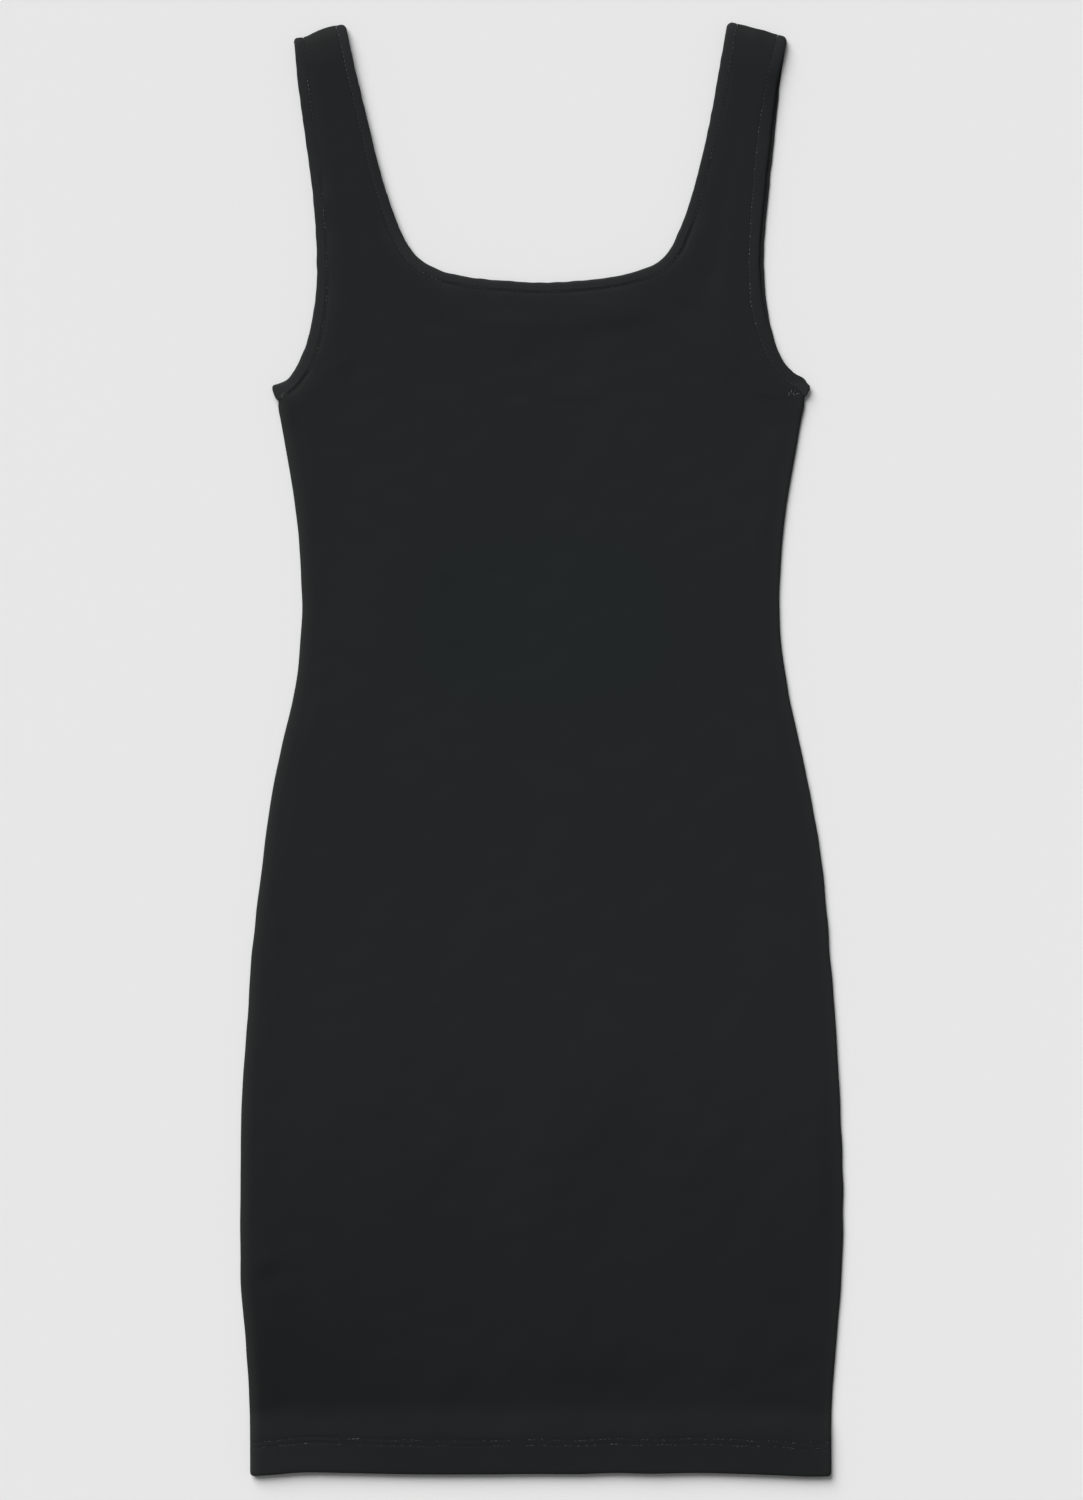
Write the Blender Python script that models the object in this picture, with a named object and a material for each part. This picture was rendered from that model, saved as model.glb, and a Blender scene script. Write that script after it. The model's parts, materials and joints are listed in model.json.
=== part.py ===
"""Sleeveless bodycon mini dress laid flat, front up: front, back and three edge bindings.

Metres, +Z up. The straps point along +Y, the hem along -Y, and the back rests on Z = 0.
Left and right are the wearer's, so the dress's right side is at -X. The tables are in
millimetres: heights are above the hem line and reaches are out from the centre line.
"""

import bmesh
import bpy
import numpy as np

MM = 0.001

# Cloth and how its layers lie, all in millimetres
CLOTH = 1.0  # wall of one layer
SEAM_GAP = 0.3  # between pieces that are sewn together
LAYER_STEP = CLOTH + SEAM_GAP  # from one layer's middle to the next one's
BINDING_WIDTH = 5.3
BINDING_THICKNESS = 1.8
BINDING_CHAMFER = 0.4
HEM_ALLOWANCE = 20.0  # turned up inside
HEM_CORNER = 2.5  # radius at the two lower corners
SEAM_LEAN = 17.0  # degrees from upright that the side seams lean at the underarms
MIDDLE_HEIGHT = 449.37  # this height lies on Y = 0

BACK_LEVEL = CLOTH / 2  # middle of the back's wall where it rests
FRONT_LEVEL = BACK_LEVEL + LAYER_STEP
BACK_BINDING_LEVEL = BINDING_THICKNESS / 2
FRONT_BINDING_LEVEL = 1.5 * BINDING_THICKNESS + SEAM_GAP
FOLD_RADIUS = (FRONT_BINDING_LEVEL - BACK_BINDING_LEVEL) / 2
FOLD_LEVEL = (FRONT_BINDING_LEVEL + BACK_BINDING_LEVEL) / 2
FRONT_HEM_LEVEL = BACK_LEVEL + 3 * LAYER_STEP  # over both turned-up allowances
SIDE_RISE = 0.5  # the front stands this much higher along its side seams

# Where the layers rise beside an edge: full rise up to the first distance, none past the second
NEAR_BINDING = {"front": (6.0, 30.0), "back": (3.0, 14.0)}
NEAR_SIDE = (4.0, 25.0)
NEAR_HEM = (22.0, 45.0)

SIDE_SEAMS = (
    # height, right, left
    (0.0, 180.4, 179.5),
    (40.0, 180.7, 179.5),
    (78.0, 182.6, 182.0),
    (115.0, 186.0, 185.0),
    (170.0, 186.9, 186.9),
    (226.0, 186.2, 185.2),
    (283.0, 182.0, 182.0),
    (338.0, 178.2, 177.6),
    (375.0, 173.4, 174.0),
    (412.0, 168.9, 168.3),
    (450.0, 161.4, 160.4),
    (487.0, 152.8, 152.8),
    (524.0, 148.4, 147.8),
    (561.0, 149.1, 147.8),
    (598.0, 152.2, 151.6),
    (640.0, 158.8, 158.6),
    (654.0, 160.8, 160.9),
    (663.0, 162.4, 162.6),
)

ARMHOLES = (
    # height, right, left, how far the front's edge is short of the back's on the left
    (676.0, 165.2, 165.4, 0.0),
    (677.3, 161.0, 163.6, 0.0),
    (679.0, 157.6, 161.4, 0.0),
    (684.0, 153.7, 154.9, 0.0),
    (691.5, 149.8, 149.0, 0.3),
    (699.0, 146.6, 145.9, 1.0),
    (718.5, 141.7, 140.6, 3.0),
    (738.0, 139.3, 138.2, 3.5),
    (756.5, 139.2, 137.6, 3.5),
    (793.5, 141.7, 140.2, 3.5),
    (831.0, 146.6, 144.2, 3.2),
    (868.0, 151.0, 148.6, 1.5),
    (888.3, 152.8, 152.0, 0.0),
)

NECKLINE = (
    # height, right, left
    (898.0, 121.3, 114.8),
    (877.3, 116.9, 111.0),
    (840.1, 108.2, 104.5),
    (802.9, 98.9, 95.8),
    (784.3, 92.9, 90.4),
    (771.9, 87.9, 85.6),
    (760.1, 81.2, 79.9),
    (752.5, 73.6, 73.0),
    (747.1, 63.4, 61.4),
    (742.4, 44.3, 42.5),
    (740.3, 22.6, 23.4),
    (739.0, 0.0, 0.0),
)
BACK_NECK_INSET = 1.5  # keeps the back's neckline behind the front's
BACK_NECK_RUN = 30.0  # length over which that fades to nothing at the shoulders

HEM_WAVE = (
    # across, drop
    (-180.0, 1.0),
    (-166.0, 0.1),
    (-152.0, -1.2),
    (-120.0, -1.0),
    (-88.0, -0.3),
    (-45.0, -0.1),
    (0.0, -0.4),
    (22.0, -0.3),
    (48.0, -1.1),
    (66.0, -0.6),
    (94.0, -1.1),
    (128.0, -0.3),
    (148.0, 0.5),
    (165.0, 1.2),
    (180.0, 1.1),
)
HEM_WAVE_REACH = 60.0  # the sections over the hem take up its wave over this height

# How finely the pieces are divided
STRAP_ROOT = 776.0  # where the straps leave the yoke
YOKE_ROWS = 9
YOKE_CROWDING = 1.4  # over 1 brings the yoke's rows closer towards the underarm
STRAP_ROWS = 10
NECK_COLUMNS = 16
ROLL_ANGLES = np.radians((0.0, 35.0, 65.0, 90.0))  # round the side seams
STRAP_INSETS = (8.0, 26.0, 48.0)  # from the side to the column under a strap's neck edge
FOLD_ANGLES = np.radians((45.0, 90.0, 135.0))  # round the shoulder folds, for the bindings
PANEL_FOLD_ANGLES = np.radians((30.0, 60.0, 81.0))  # and for the panels, up to the shoulder seam
HEM_FOLD_ANGLES = np.radians((60.0, 120.0, 180.0))
ALLOWANCE_ROWS = (10.0, HEM_ALLOWANCE)
HEM_ROWS = (HEM_ALLOWANCE + 2.5, 45.0)

JERSEY = (0.018, 0.021, 0.022, 1.0)
BINDING_JERSEY = (0.022, 0.025, 0.027, 1.0)

RIGHT, LEFT = -1, 1
FRONT, BACK = "front", "back"
OUTWARD = {FRONT: 1.0, BACK: -1.0}  # Z direction away from the dress's inside


def clear_scene():
    for thing in list(bpy.data.objects):
        bpy.data.objects.remove(thing)


def fabric(name, colour, roughness):
    material = bpy.data.materials.new(name)
    material.use_nodes = True
    shader = material.node_tree.nodes["Principled BSDF"]
    shader.inputs["Base Color"].default_value = colour
    shader.inputs["Roughness"].default_value = roughness
    shader.inputs["Metallic"].default_value = 0.0
    return material


# Smooth curves through table rows


def smooth_curve(rows, per_span=40):
    """Closely spaced points on a smooth curve through the rows."""
    knots = np.asarray(rows, float)
    gaps = np.linalg.norm(np.diff(knots, axis=0), axis=1)[:, None]
    slopes = np.diff(knots, axis=0) / gaps
    bends = np.empty_like(knots)
    bends[1:-1] = (slopes[:-1] * gaps[1:] + slopes[1:] * gaps[:-1]) / (gaps[:-1] + gaps[1:])
    bends[0], bends[-1] = slopes[0], slopes[-1]
    t = np.linspace(0.0, 1.0, per_span, endpoint=False)[:, None]
    spans = [
        (1 + 2 * t) * (1 - t) ** 2 * knots[i]
        + t * (1 - t) ** 2 * gaps[i] * bends[i]
        + t**2 * (3 - 2 * t) * knots[i + 1]
        - t**2 * (1 - t) * gaps[i] * bends[i + 1]
        for i in range(len(gaps))
    ]
    return np.vstack([*spans, knots[-1:]])


def travel(points):
    """Distance along a run of points to each of them."""
    steps = np.linalg.norm(np.diff(points, axis=0), axis=1)
    return np.concatenate([[0.0], np.cumsum(steps)])


def pick(values, along, at):
    """Values of several columns read at distances along a curve."""
    return np.stack([np.interp(at, along, column) for column in values.T], axis=1)


def read_table(table, height, column):
    rows = smooth_curve([(row[0], row[column]) for row in table])
    return np.interp(height, rows[:, 0], rows[:, 1])


def fall(distance, limits):
    """1 up to the first limit, 0 from the second, smooth between."""
    t = np.clip((limits[1] - distance) / (limits[1] - limits[0]), 0.0, 1.0)
    return t * t * (3.0 - 2.0 * t)


def into_cloth(points, side):
    """Unit vectors square to a curve, towards the cloth on its right (-1) or left (1)."""
    along = np.gradient(points, axis=0)
    along /= np.linalg.norm(along, axis=1)[:, None]
    return -side * np.stack([along[:, 1], -along[:, 0]], axis=1)


# Finished edges: stations (x, height) and the direction from each into the cloth


def shoulder_line(side):
    """A shoulder fold's two ends, at the armhole and at the neck, and its unit direction."""
    column = 1 if side == RIGHT else 2
    outer = np.array([side * ARMHOLES[-1][column], ARMHOLES[-1][0]])
    inner = np.array([side * NECKLINE[0][column], NECKLINE[0][0]])
    return outer, inner, (inner - outer) / np.linalg.norm(inner - outer)


def mitred(direction, across):
    """A direction lengthened so that a binding laid along it keeps its width across."""
    return direction / abs(np.dot(direction, across))


def armhole_edge(side, layer):
    """Stations from the underarm to the shoulder; the straps' part starts at YOKE_ROWS."""
    column = 1 if side == RIGHT else 2
    short = 1.0 if (side == LEFT and layer == FRONT) else 0.0
    rows = [(side * (row[column] - short * row[3]), row[0]) for row in ARMHOLES]
    points = smooth_curve(rows)
    along = travel(points)
    root = np.interp(STRAP_ROOT, points[:, 1], along)
    at = np.concatenate(
        [
            root * np.linspace(0.0, 1.0, YOKE_ROWS + 1) ** YOKE_CROWDING,
            np.linspace(root, along[-1], STRAP_ROWS + 1)[1:],
        ]
    )
    stations = pick(points, along, at)
    across = pick(into_cloth(points, side), along, at)
    across[-1] = mitred(shoulder_line(side)[2], across[-1])
    lean = np.radians(SEAM_LEAN)
    across[0] = mitred(np.array([-side * np.sin(lean), -np.cos(lean)]), across[0])
    return stations, across


def neck_edge(layer):
    """Stations from the right shoulder down, across and up to the left shoulder."""
    right = [(-row[1], row[0]) for row in NECKLINE]
    left = [(row[2], row[0]) for row in NECKLINE[-2::-1]]
    points = smooth_curve(right + left)
    if layer == BACK:
        along = travel(points)
        from_end = np.minimum(along, along[-1] - along)
        inset = BACK_NECK_INSET * np.clip(from_end / BACK_NECK_RUN, 0.0, 1.0)
        points = points + inset[:, None] * into_cloth(points, RIGHT)
    along = travel(points)
    lowest = int(np.argmin(points[:, 1]))
    root_right = np.interp(-STRAP_ROOT, -points[:lowest, 1], along[:lowest])
    root_left = np.interp(STRAP_ROOT, points[lowest:, 1], along[lowest:])
    share = np.linspace(0.0, 1.0, NECK_COLUMNS + 1)
    share = 0.45 * share + 0.55 * (1.0 - np.cos(np.pi * share)) / 2.0  # closer at the corners
    at = np.concatenate(
        [
            np.linspace(0.0, root_right, STRAP_ROWS + 1),
            (root_right + (root_left - root_right) * share)[1:-1],
            np.linspace(root_left, along[-1], STRAP_ROWS + 1),
        ]
    )
    stations = pick(points, along, at)
    across = pick(into_cloth(points, RIGHT), along, at)
    across[0] = mitred(-shoulder_line(RIGHT)[2], across[0])
    across[-1] = mitred(-shoulder_line(LEFT)[2], across[-1])
    return stations, across


def panel_edge(stations, across):
    """Where a panel stops short of its binding."""
    return stations + (BINDING_WIDTH + SEAM_GAP) * across


def hem_height(x, reach):
    """The hem line's height, with its wave and its rounded corners."""
    wave = smooth_curve(HEM_WAVE)
    height = -np.interp(x, wave[:, 0], wave[:, 1])
    inside = np.clip(HEM_CORNER - (reach - np.abs(x)), 0.0, HEM_CORNER)
    return height + HEM_CORNER - np.sqrt(HEM_CORNER**2 - inside**2)


# Panels


class Panel:
    """Mid-surface of the front or the back, as rows of points and normals from hem to straps."""

    def __init__(self, layer):
        self.layer = layer
        self.outward = OUTWARD[layer]
        self.armholes = {side: panel_edge(*armhole_edge(side, layer)) for side in (RIGHT, LEFT)}
        self.neck = panel_edge(*neck_edge(layer))
        edges = [smooth_curve(run, 6) for run in (*self.armholes.values(), self.neck)]
        folds = [np.linspace(*shoulder_line(side)[:2], 12) for side in (RIGHT, LEFT)]
        self.bound = np.vstack(edges + folds)  # closely spaced points on every bound or folded edge
        self.points, self.normals, self.quads = [], [], []

    def reach(self, side, height):
        """Half width of the body at a height; the table ends at the underarm corner."""
        corner = self.armholes[side][0]
        column = 1 if side == RIGHT else 2
        rows = [(row[0], row[column]) for row in SIDE_SEAMS] + [(corner[1], side * corner[0])]
        return read_table(rows, height, 1)

    def level(self, layer, x, height):
        """Height of a layer's mid-surface over the floor."""
        place = np.stack([x, height], axis=-1)
        to_binding = np.linalg.norm(place[:, None, :] - self.bound, axis=-1).min(axis=-1)
        rise = fall(to_binding, NEAR_BINDING[layer])
        if layer == BACK:
            return BACK_LEVEL + (BACK_BINDING_LEVEL - BACK_LEVEL) * rise
        edge = np.where(x < 0, self.reach(RIGHT, height), self.reach(LEFT, height))
        below_yoke = height < self.armholes[RIGHT][0][1] + NEAR_SIDE[0]
        side = SIDE_RISE * fall(edge - np.abs(x), NEAR_SIDE) * below_yoke
        hem = (FRONT_HEM_LEVEL - FRONT_LEVEL) * fall(height, NEAR_HEM)
        return FRONT_LEVEL + np.maximum.reduce(
            [(FRONT_BINDING_LEVEL - FRONT_LEVEL) * rise, side, hem]
        )

    def section(self, height):
        """Points and normals from the right side seam to the left one at one height."""
        halves = []
        for side in (RIGHT, LEFT):
            seam = self.reach(side, height) - CLOTH / 2
            here = side * np.array([seam]), np.array([height])
            front, back = self.level(FRONT, *here)[0], self.level(BACK, *here)[0]
            middle, radius = (front + back) / 2, (front - back) / 2
            lowest = np.arcsin(SEAM_GAP / 2 / radius)
            angle = np.maximum(ROLL_ANGLES, lowest)
            x = seam - radius * (1.0 - np.cos(angle))
            z = middle + self.outward * radius * np.sin(angle)
            normal = np.stack([np.cos(angle), 0 * angle, self.outward * np.sin(angle)], axis=1)
            normal[0] = (1.0, 0.0, 0.0)
            normal[:, 0] *= side
            flat = seam - np.array(STRAP_INSETS)
            z = np.append(z, self.level(self.layer, side * flat, np.full(flat.shape, height)))
            normal = np.vstack([normal, np.tile((0.0, 0.0, self.outward), (len(flat), 1))])
            halves.append((side * np.append(x, flat), z, normal))
        (xr, zr, nr), (xl, zl, nl) = halves
        middle = np.linspace(xr[-1], xl[-1], NECK_COLUMNS + 1)[1:-1]
        x = np.concatenate([xr, middle, xl[::-1]])
        zm = self.level(self.layer, middle, np.full(middle.shape, height))
        z = np.concatenate([zr, zm, zl[::-1]])
        up = np.tile((0.0, 0.0, self.outward), (len(middle), 1))
        points = np.stack([x, np.full(x.shape, float(height)), z], axis=1)
        return points, np.vstack([nr, up, nl[::-1]])

    def low_section(self, height):
        """A section near the hem, which takes up what is left of the hem's wave."""
        points, normals = self.section(height)
        left_over = 1.0 - height / HEM_WAVE_REACH
        points[:, 1] += left_over * hem_height(points[:, 0], np.inf)
        return points, normals

    def hem_rows(self):
        """The turned-up allowance, the hem fold and the sections just over it."""
        turn = LAYER_STEP / 2
        fold, normals = self.section(0.0)
        reach = np.where(fold[:, 0] < 0, self.reach(RIGHT, 0.0), self.reach(LEFT, 0.0))
        fold[:, 1] = hem_height(fold[:, 0], reach) + turn + CLOTH / 2
        down = np.array([0.0, -1.0, 0.0])
        rows = []
        for height in reversed(ALLOWANCE_ROWS):
            points, facing = self.low_section(height)
            rows.append((points - LAYER_STEP * facing, -facing))
        for angle in reversed(HEM_FOLD_ANGLES):
            turned = np.cos(angle) * normals + np.sin(angle) * down
            rows.append((fold - turn * normals + turn * turned, turned))
        rows.append((fold, normals))
        return rows + [self.low_section(height) for height in (*ALLOWANCE_ROWS, *HEM_ROWS)]

    def yoke_rows(self, underarm):
        """Rows from the underarm section up to the neckline and the straps' roots."""
        strap = len(ROLL_ANGLES) + len(STRAP_INSETS) - 1
        right, left = self.armholes[RIGHT], self.armholes[LEFT]
        neck = self.neck[STRAP_ROWS : STRAP_ROWS + NECK_COLUMNS + 1]
        share = np.linspace(0.0, 1.0, strap + 1)[:, None]
        top = np.vstack(
            [
                right[YOKE_ROWS] + (neck[0] - right[YOKE_ROWS]) * share,
                neck[1:-1],
                neck[-1] + (left[YOKE_ROWS] - neck[-1]) * share,
            ]
        )
        bottom = underarm[:, :2]
        across = (bottom[:, 0] - bottom[0, 0]) / (bottom[-1, 0] - bottom[0, 0])
        rows = []
        for i in range(1, YOKE_ROWS + 1):
            up = (i / YOKE_ROWS) ** YOKE_CROWDING
            chord = (1 - up) * bottom + up * top
            pull_right = right[i] - chord[0]
            pull_left = left[i] - chord[-1]
            place = chord + (1 - across)[:, None] * pull_right + across[:, None] * pull_left
            rows.append(self.laid(place))
        return rows

    def laid(self, place):
        """Flat points lifted to this panel's level."""
        z = self.level(self.layer, place[:, 0], place[:, 1])
        normals = np.tile((0.0, 0.0, self.outward), (len(place), 1))
        return np.column_stack([place, z]), normals

    def strap_rows(self, side):
        """Rows up one strap, then round its shoulder fold to the shoulder seam."""
        outer = self.armholes[side][YOKE_ROWS:]
        runs = {RIGHT: self.neck[STRAP_ROWS::-1], LEFT: self.neck[-STRAP_ROWS - 1 :]}
        inner = runs[side]
        share = np.linspace(0.0, 1.0, len(ROLL_ANGLES) + len(STRAP_INSETS))[:, None]
        if side == LEFT:
            outer, inner = inner, outer
        rows = [self.laid(outer[i] + (inner[i] - outer[i]) * share) for i in range(1, len(outer))]
        top = rows[-1][0]
        along = shoulder_line(side)[2]
        up = np.array([0.0, 0.0, self.outward])
        over = np.array([side * along[1], -side * along[0], 0.0])
        over *= np.sign(over[1])
        base = top - FOLD_RADIUS * up
        for angle in PANEL_FOLD_ANGLES:
            facing = np.cos(angle) * up + np.sin(angle) * over
            rows.append((base + FOLD_RADIUS * facing, np.tile(facing, (len(top), 1))))
        return rows

    def add_rows(self, rows, first=None):
        """Adds rows and the quads between them; first is a row of points already there."""
        before = first
        for points, normals in rows:
            start = len(self.points)
            self.points.extend(points)
            self.normals.extend(normals)
            here = list(range(start, start + len(points)))
            if before is not None:
                self.quads += [
                    (before[j], before[j + 1], here[j + 1], here[j]) for j in range(len(here) - 1)
                ]
            before = here
        return before

    def build(self, material):
        underarm = self.section(self.armholes[RIGHT][0][1])
        left_corner = self.armholes[LEFT][0][1]
        tilt = np.linspace(0.0, 1.0, len(underarm[0]))
        underarm[0][:, 1] += (left_corner - underarm[0][0, 1]) * tilt
        body = self.hem_rows()
        body += [self.section(row[0]) for row in SIDE_SEAMS if row[0] > HEM_ROWS[-1]]
        body += [underarm, *self.yoke_rows(underarm[0])]
        root = self.add_rows(body)
        strap = len(ROLL_ANGLES) + len(STRAP_INSETS)
        self.add_rows(self.strap_rows(RIGHT), root[:strap])
        self.add_rows(self.strap_rows(LEFT), root[-strap:])
        wall(f"{self.layer}_panel", self, material)


def finish_mesh(name, vertices, faces, material):
    """An object in metres, placed on the floor, with its faces turned outwards."""
    place = np.asarray(vertices, float)
    place[:, 1] -= MIDDLE_HEIGHT
    mesh = bpy.data.meshes.new(name)
    mesh.from_pydata((place * MM).tolist(), [], faces)
    shape = bmesh.new()
    shape.from_mesh(mesh)
    bmesh.ops.recalc_face_normals(shape, faces=shape.faces)
    shape.to_mesh(mesh)
    shape.free()
    mesh.materials.append(material)
    thing = bpy.data.objects.new(name, mesh)
    bpy.context.scene.collection.objects.link(thing)
    mesh.shade_smooth()
    mesh.set_sharp_from_angle(angle=np.radians(50.0))
    mesh.update()
    return thing


def wall(name, panel, material):
    """A panel's mid-surface given the cloth's thickness, with its raw edges closed."""
    points, normals = np.array(panel.points), np.array(panel.normals)
    count = len(points)
    vertices = np.vstack([points + normals * CLOTH / 2, points - normals * CLOTH / 2])
    quads = panel.quads
    sides = {(a, b) for quad in quads for a, b in zip(quad, quad[1:] + quad[:1])}
    rim = sorted((a, b) for a, b in sides if (b, a) not in sides)
    faces = list(quads)
    faces += [tuple(i + count for i in quad[::-1]) for quad in quads]
    faces += [(b, a, a + count, b + count) for a, b in rim]
    return finish_mesh(name, vertices, faces, material)


# Bindings


def binding_outline():
    """The binding's section: distance from the finished edge, and height over its middle."""
    wide, thick, cut = BINDING_WIDTH, BINDING_THICKNESS / 2, BINDING_CHAMFER
    return [
        (0.0, thick - cut),
        (cut, thick),
        (wide - cut, thick),
        (wide, thick - cut),
        (wide, cut - thick),
        (wide - cut, -thick),
        (cut, -thick),
        (0.0, cut - thick),
    ]


def binding_ring(base, across, facing):
    """One section of a binding: base on the finished edge, across into the cloth."""
    across = np.array([*across, 0.0])
    return [base + wide * across + high * facing for wide, high in binding_outline()]


def laid_rings(edge, layer):
    level = FRONT_BINDING_LEVEL if layer == FRONT else BACK_BINDING_LEVEL
    facing = np.array([0.0, 0.0, OUTWARD[layer]])
    return [binding_ring(np.array([*point, level]), across, facing) for point, across in zip(*edge)]


def folded_rings(edge, at, side):
    """Sections round a shoulder fold, from the front over to the back."""
    point, across = edge[0][at], edge[1][at]
    along = shoulder_line(side)[2]
    over = np.array([along[1], -along[0], 0.0])
    over *= np.sign(over[1])
    middle = np.array([*point, FOLD_LEVEL])
    rings = []
    for angle in FOLD_ANGLES:
        facing = np.cos(angle) * np.array([0.0, 0.0, 1.0]) + np.sin(angle) * over
        rings.append(binding_ring(middle + FOLD_RADIUS * facing, across, facing))
    return rings


def binding(name, rings, closed, material):
    """A strip through its rings, closed to a loop or with its two ends capped."""
    count, corners = len(rings), len(rings[0])
    vertices = np.array(rings).reshape(-1, 3)
    faces = []
    for i in range(count if closed else count - 1):
        here, after = i * corners, (i + 1) % count * corners
        for j in range(corners):
            k = (j + 1) % corners
            faces.append((here + j, here + k, after + k, after + j))
    if not closed:
        faces.append(tuple(range(corners))[::-1])
        faces.append(tuple((count - 1) * corners + j for j in range(corners)))
    return finish_mesh(name, vertices, faces, material)


def neck_binding(material):
    front, back = neck_edge(FRONT), neck_edge(BACK)
    rings = laid_rings(front, FRONT)
    rings += folded_rings(front, -1, LEFT)
    rings += laid_rings(back, BACK)[::-1]
    rings += folded_rings(front, 0, RIGHT)[::-1]
    return binding("neck_binding", rings, True, material)


def armhole_binding(side, material):
    front, back = armhole_edge(side, FRONT), armhole_edge(side, BACK)
    rings = laid_rings(front, FRONT)
    rings += folded_rings(front, -1, side)
    rings += laid_rings(back, BACK)[::-1]
    name = "right_armhole_binding" if side == RIGHT else "left_armhole_binding"
    return binding(name, rings, False, material)


def main():
    clear_scene()
    jersey = fabric("jersey", JERSEY, 0.92)
    bound = fabric("binding_jersey", BINDING_JERSEY, 0.9)
    Panel(FRONT).build(jersey)
    Panel(BACK).build(jersey)
    neck_binding(bound)
    for side in (RIGHT, LEFT):
        armhole_binding(side, bound)


main()
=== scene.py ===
"""The finished look of a sleeveless bodycon mini dress laid flat, front up.

Two thin jersey shells lie on each other, joined at the side seams and folded over at the
shoulders. Puffy bands bind the neck and the armholes, each with a row of topstitching, and
two rows of stitches cross the hem. Lengths below are in millimetres unless a property says
otherwise: heights are above the hem line, reaches are out from the centre line, and left and
right are the wearer's, so the right side is at -X.
"""

import json
import math

import bpy
import numpy as np
from mathutils.kdtree import KDTree
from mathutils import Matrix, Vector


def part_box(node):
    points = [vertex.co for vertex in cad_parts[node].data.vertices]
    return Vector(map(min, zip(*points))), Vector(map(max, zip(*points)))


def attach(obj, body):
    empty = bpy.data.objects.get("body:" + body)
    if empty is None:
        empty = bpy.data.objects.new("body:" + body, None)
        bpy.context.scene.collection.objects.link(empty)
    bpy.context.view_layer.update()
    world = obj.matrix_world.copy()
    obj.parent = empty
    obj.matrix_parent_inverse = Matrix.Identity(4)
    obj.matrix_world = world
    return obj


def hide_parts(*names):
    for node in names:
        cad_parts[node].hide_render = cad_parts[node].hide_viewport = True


bl_info = {
    "name": "Bodycon Dress",
    "version": (1, 0, 0),
    "blender": (4, 5, 0),
    "location": "3D View > Sidebar > Dress",
    "description": "Makes a bodycon mini dress laid flat, with bound edges and stitched hem",
    "category": "Object",
}

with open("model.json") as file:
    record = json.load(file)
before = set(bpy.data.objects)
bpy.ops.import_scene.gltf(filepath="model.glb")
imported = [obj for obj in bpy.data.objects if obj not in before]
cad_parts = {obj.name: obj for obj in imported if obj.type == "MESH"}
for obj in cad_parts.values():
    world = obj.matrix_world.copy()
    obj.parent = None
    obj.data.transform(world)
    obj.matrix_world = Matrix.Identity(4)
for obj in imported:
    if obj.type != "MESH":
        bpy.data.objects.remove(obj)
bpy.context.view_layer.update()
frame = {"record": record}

MM = 0.001
RIGHT, LEFT = SIDES = (-1, 1)
COLUMN = {RIGHT: 1, LEFT: 2}  # of a side's values in the tables of height, right and left
ARMHOLE = {RIGHT: "right_armhole", LEFT: "left_armhole"}
NECK = "neck"
FRONT, BACK = "front", "back"
OUTWARD = {FRONT: 1.0, BACK: -1.0}  # Z direction away from the dress's inside
FACING = {layer: np.array([0.0, 0.0, z]) for layer, z in OUTWARD.items()}

# Levels over the floor, read from the solid pieces
BACK_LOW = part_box("back_panel")[0].z / MM
FRONT_LOW, FRONT_HIGH = (corner.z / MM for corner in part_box("front_panel"))
BAND_LOW, BAND_HIGH = (corner.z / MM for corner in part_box("neck_binding"))
HEM_DIP = 1.054  # the hem's lowest place is this far below height 0
HEM_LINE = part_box("front_panel")[0].y / MM + HEM_DIP  # where height 0 lies
CLOTH = 1.0  # one layer's thickness
SEAM_GAP = 0.1  # between pieces that are sewn together
LAYER_STEP = FRONT_LOW - BACK_LOW  # from one layer's middle to the next one's
LEVEL = {FRONT: FRONT_LOW + CLOTH / 2, BACK: BACK_LOW + CLOTH / 2}
FRONT_HEM_LEVEL = FRONT_HIGH - CLOTH / 2  # over both turned-up allowances
BAND_THICKNESS = 1.8
BAND_LEVEL = {FRONT: BAND_HIGH - BAND_THICKNESS / 2, BACK: BAND_LOW + BAND_THICKNESS / 2}
FOLD_RADIUS = (BAND_LEVEL[FRONT] - BAND_LEVEL[BACK]) / 2
FOLD_LEVEL = (BAND_LEVEL[FRONT] + BAND_LEVEL[BACK]) / 2

# Where the layers rise beside an edge: full rise up to the first distance, none past the second
NEAR_BAND = {FRONT: (6.0, 30.0), BACK: (3.0, 14.0)}
NEAR_SIDE = (4.0, 25.0)
NEAR_HEM = (22.0, 45.0)
SIDE_RISE = 0.5
FOLD_BULGE = 0.9  # the straps stand this much higher just before the shoulder folds
NEAR_FOLD = (10.0, 60.0)

SIDE_SEAMS = (
    # height, right, left
    (0, 180.8, 179.9),
    (40, 181.2, 180),
    (78, 183.3, 182.6),
    (115, 186.5, 185.7),
    (170, 186.9, 187.3),
    (226, 186.3, 185.5),
    (283, 182.6, 182.3),
    (338, 178.4, 177.8),
    (375, 173.7, 174.6),
    (412, 169.1, 168.7),
    (450, 161.7, 161),
    (487, 153.2, 153),
    (524, 149.1, 148.1),
    (561, 149.4, 148.2),
    (598, 152.6, 151.6),
    (640, 159.4, 158.7),
    (654, 161.9, 161.1),
    (663, 163.4, 163),
)

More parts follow.
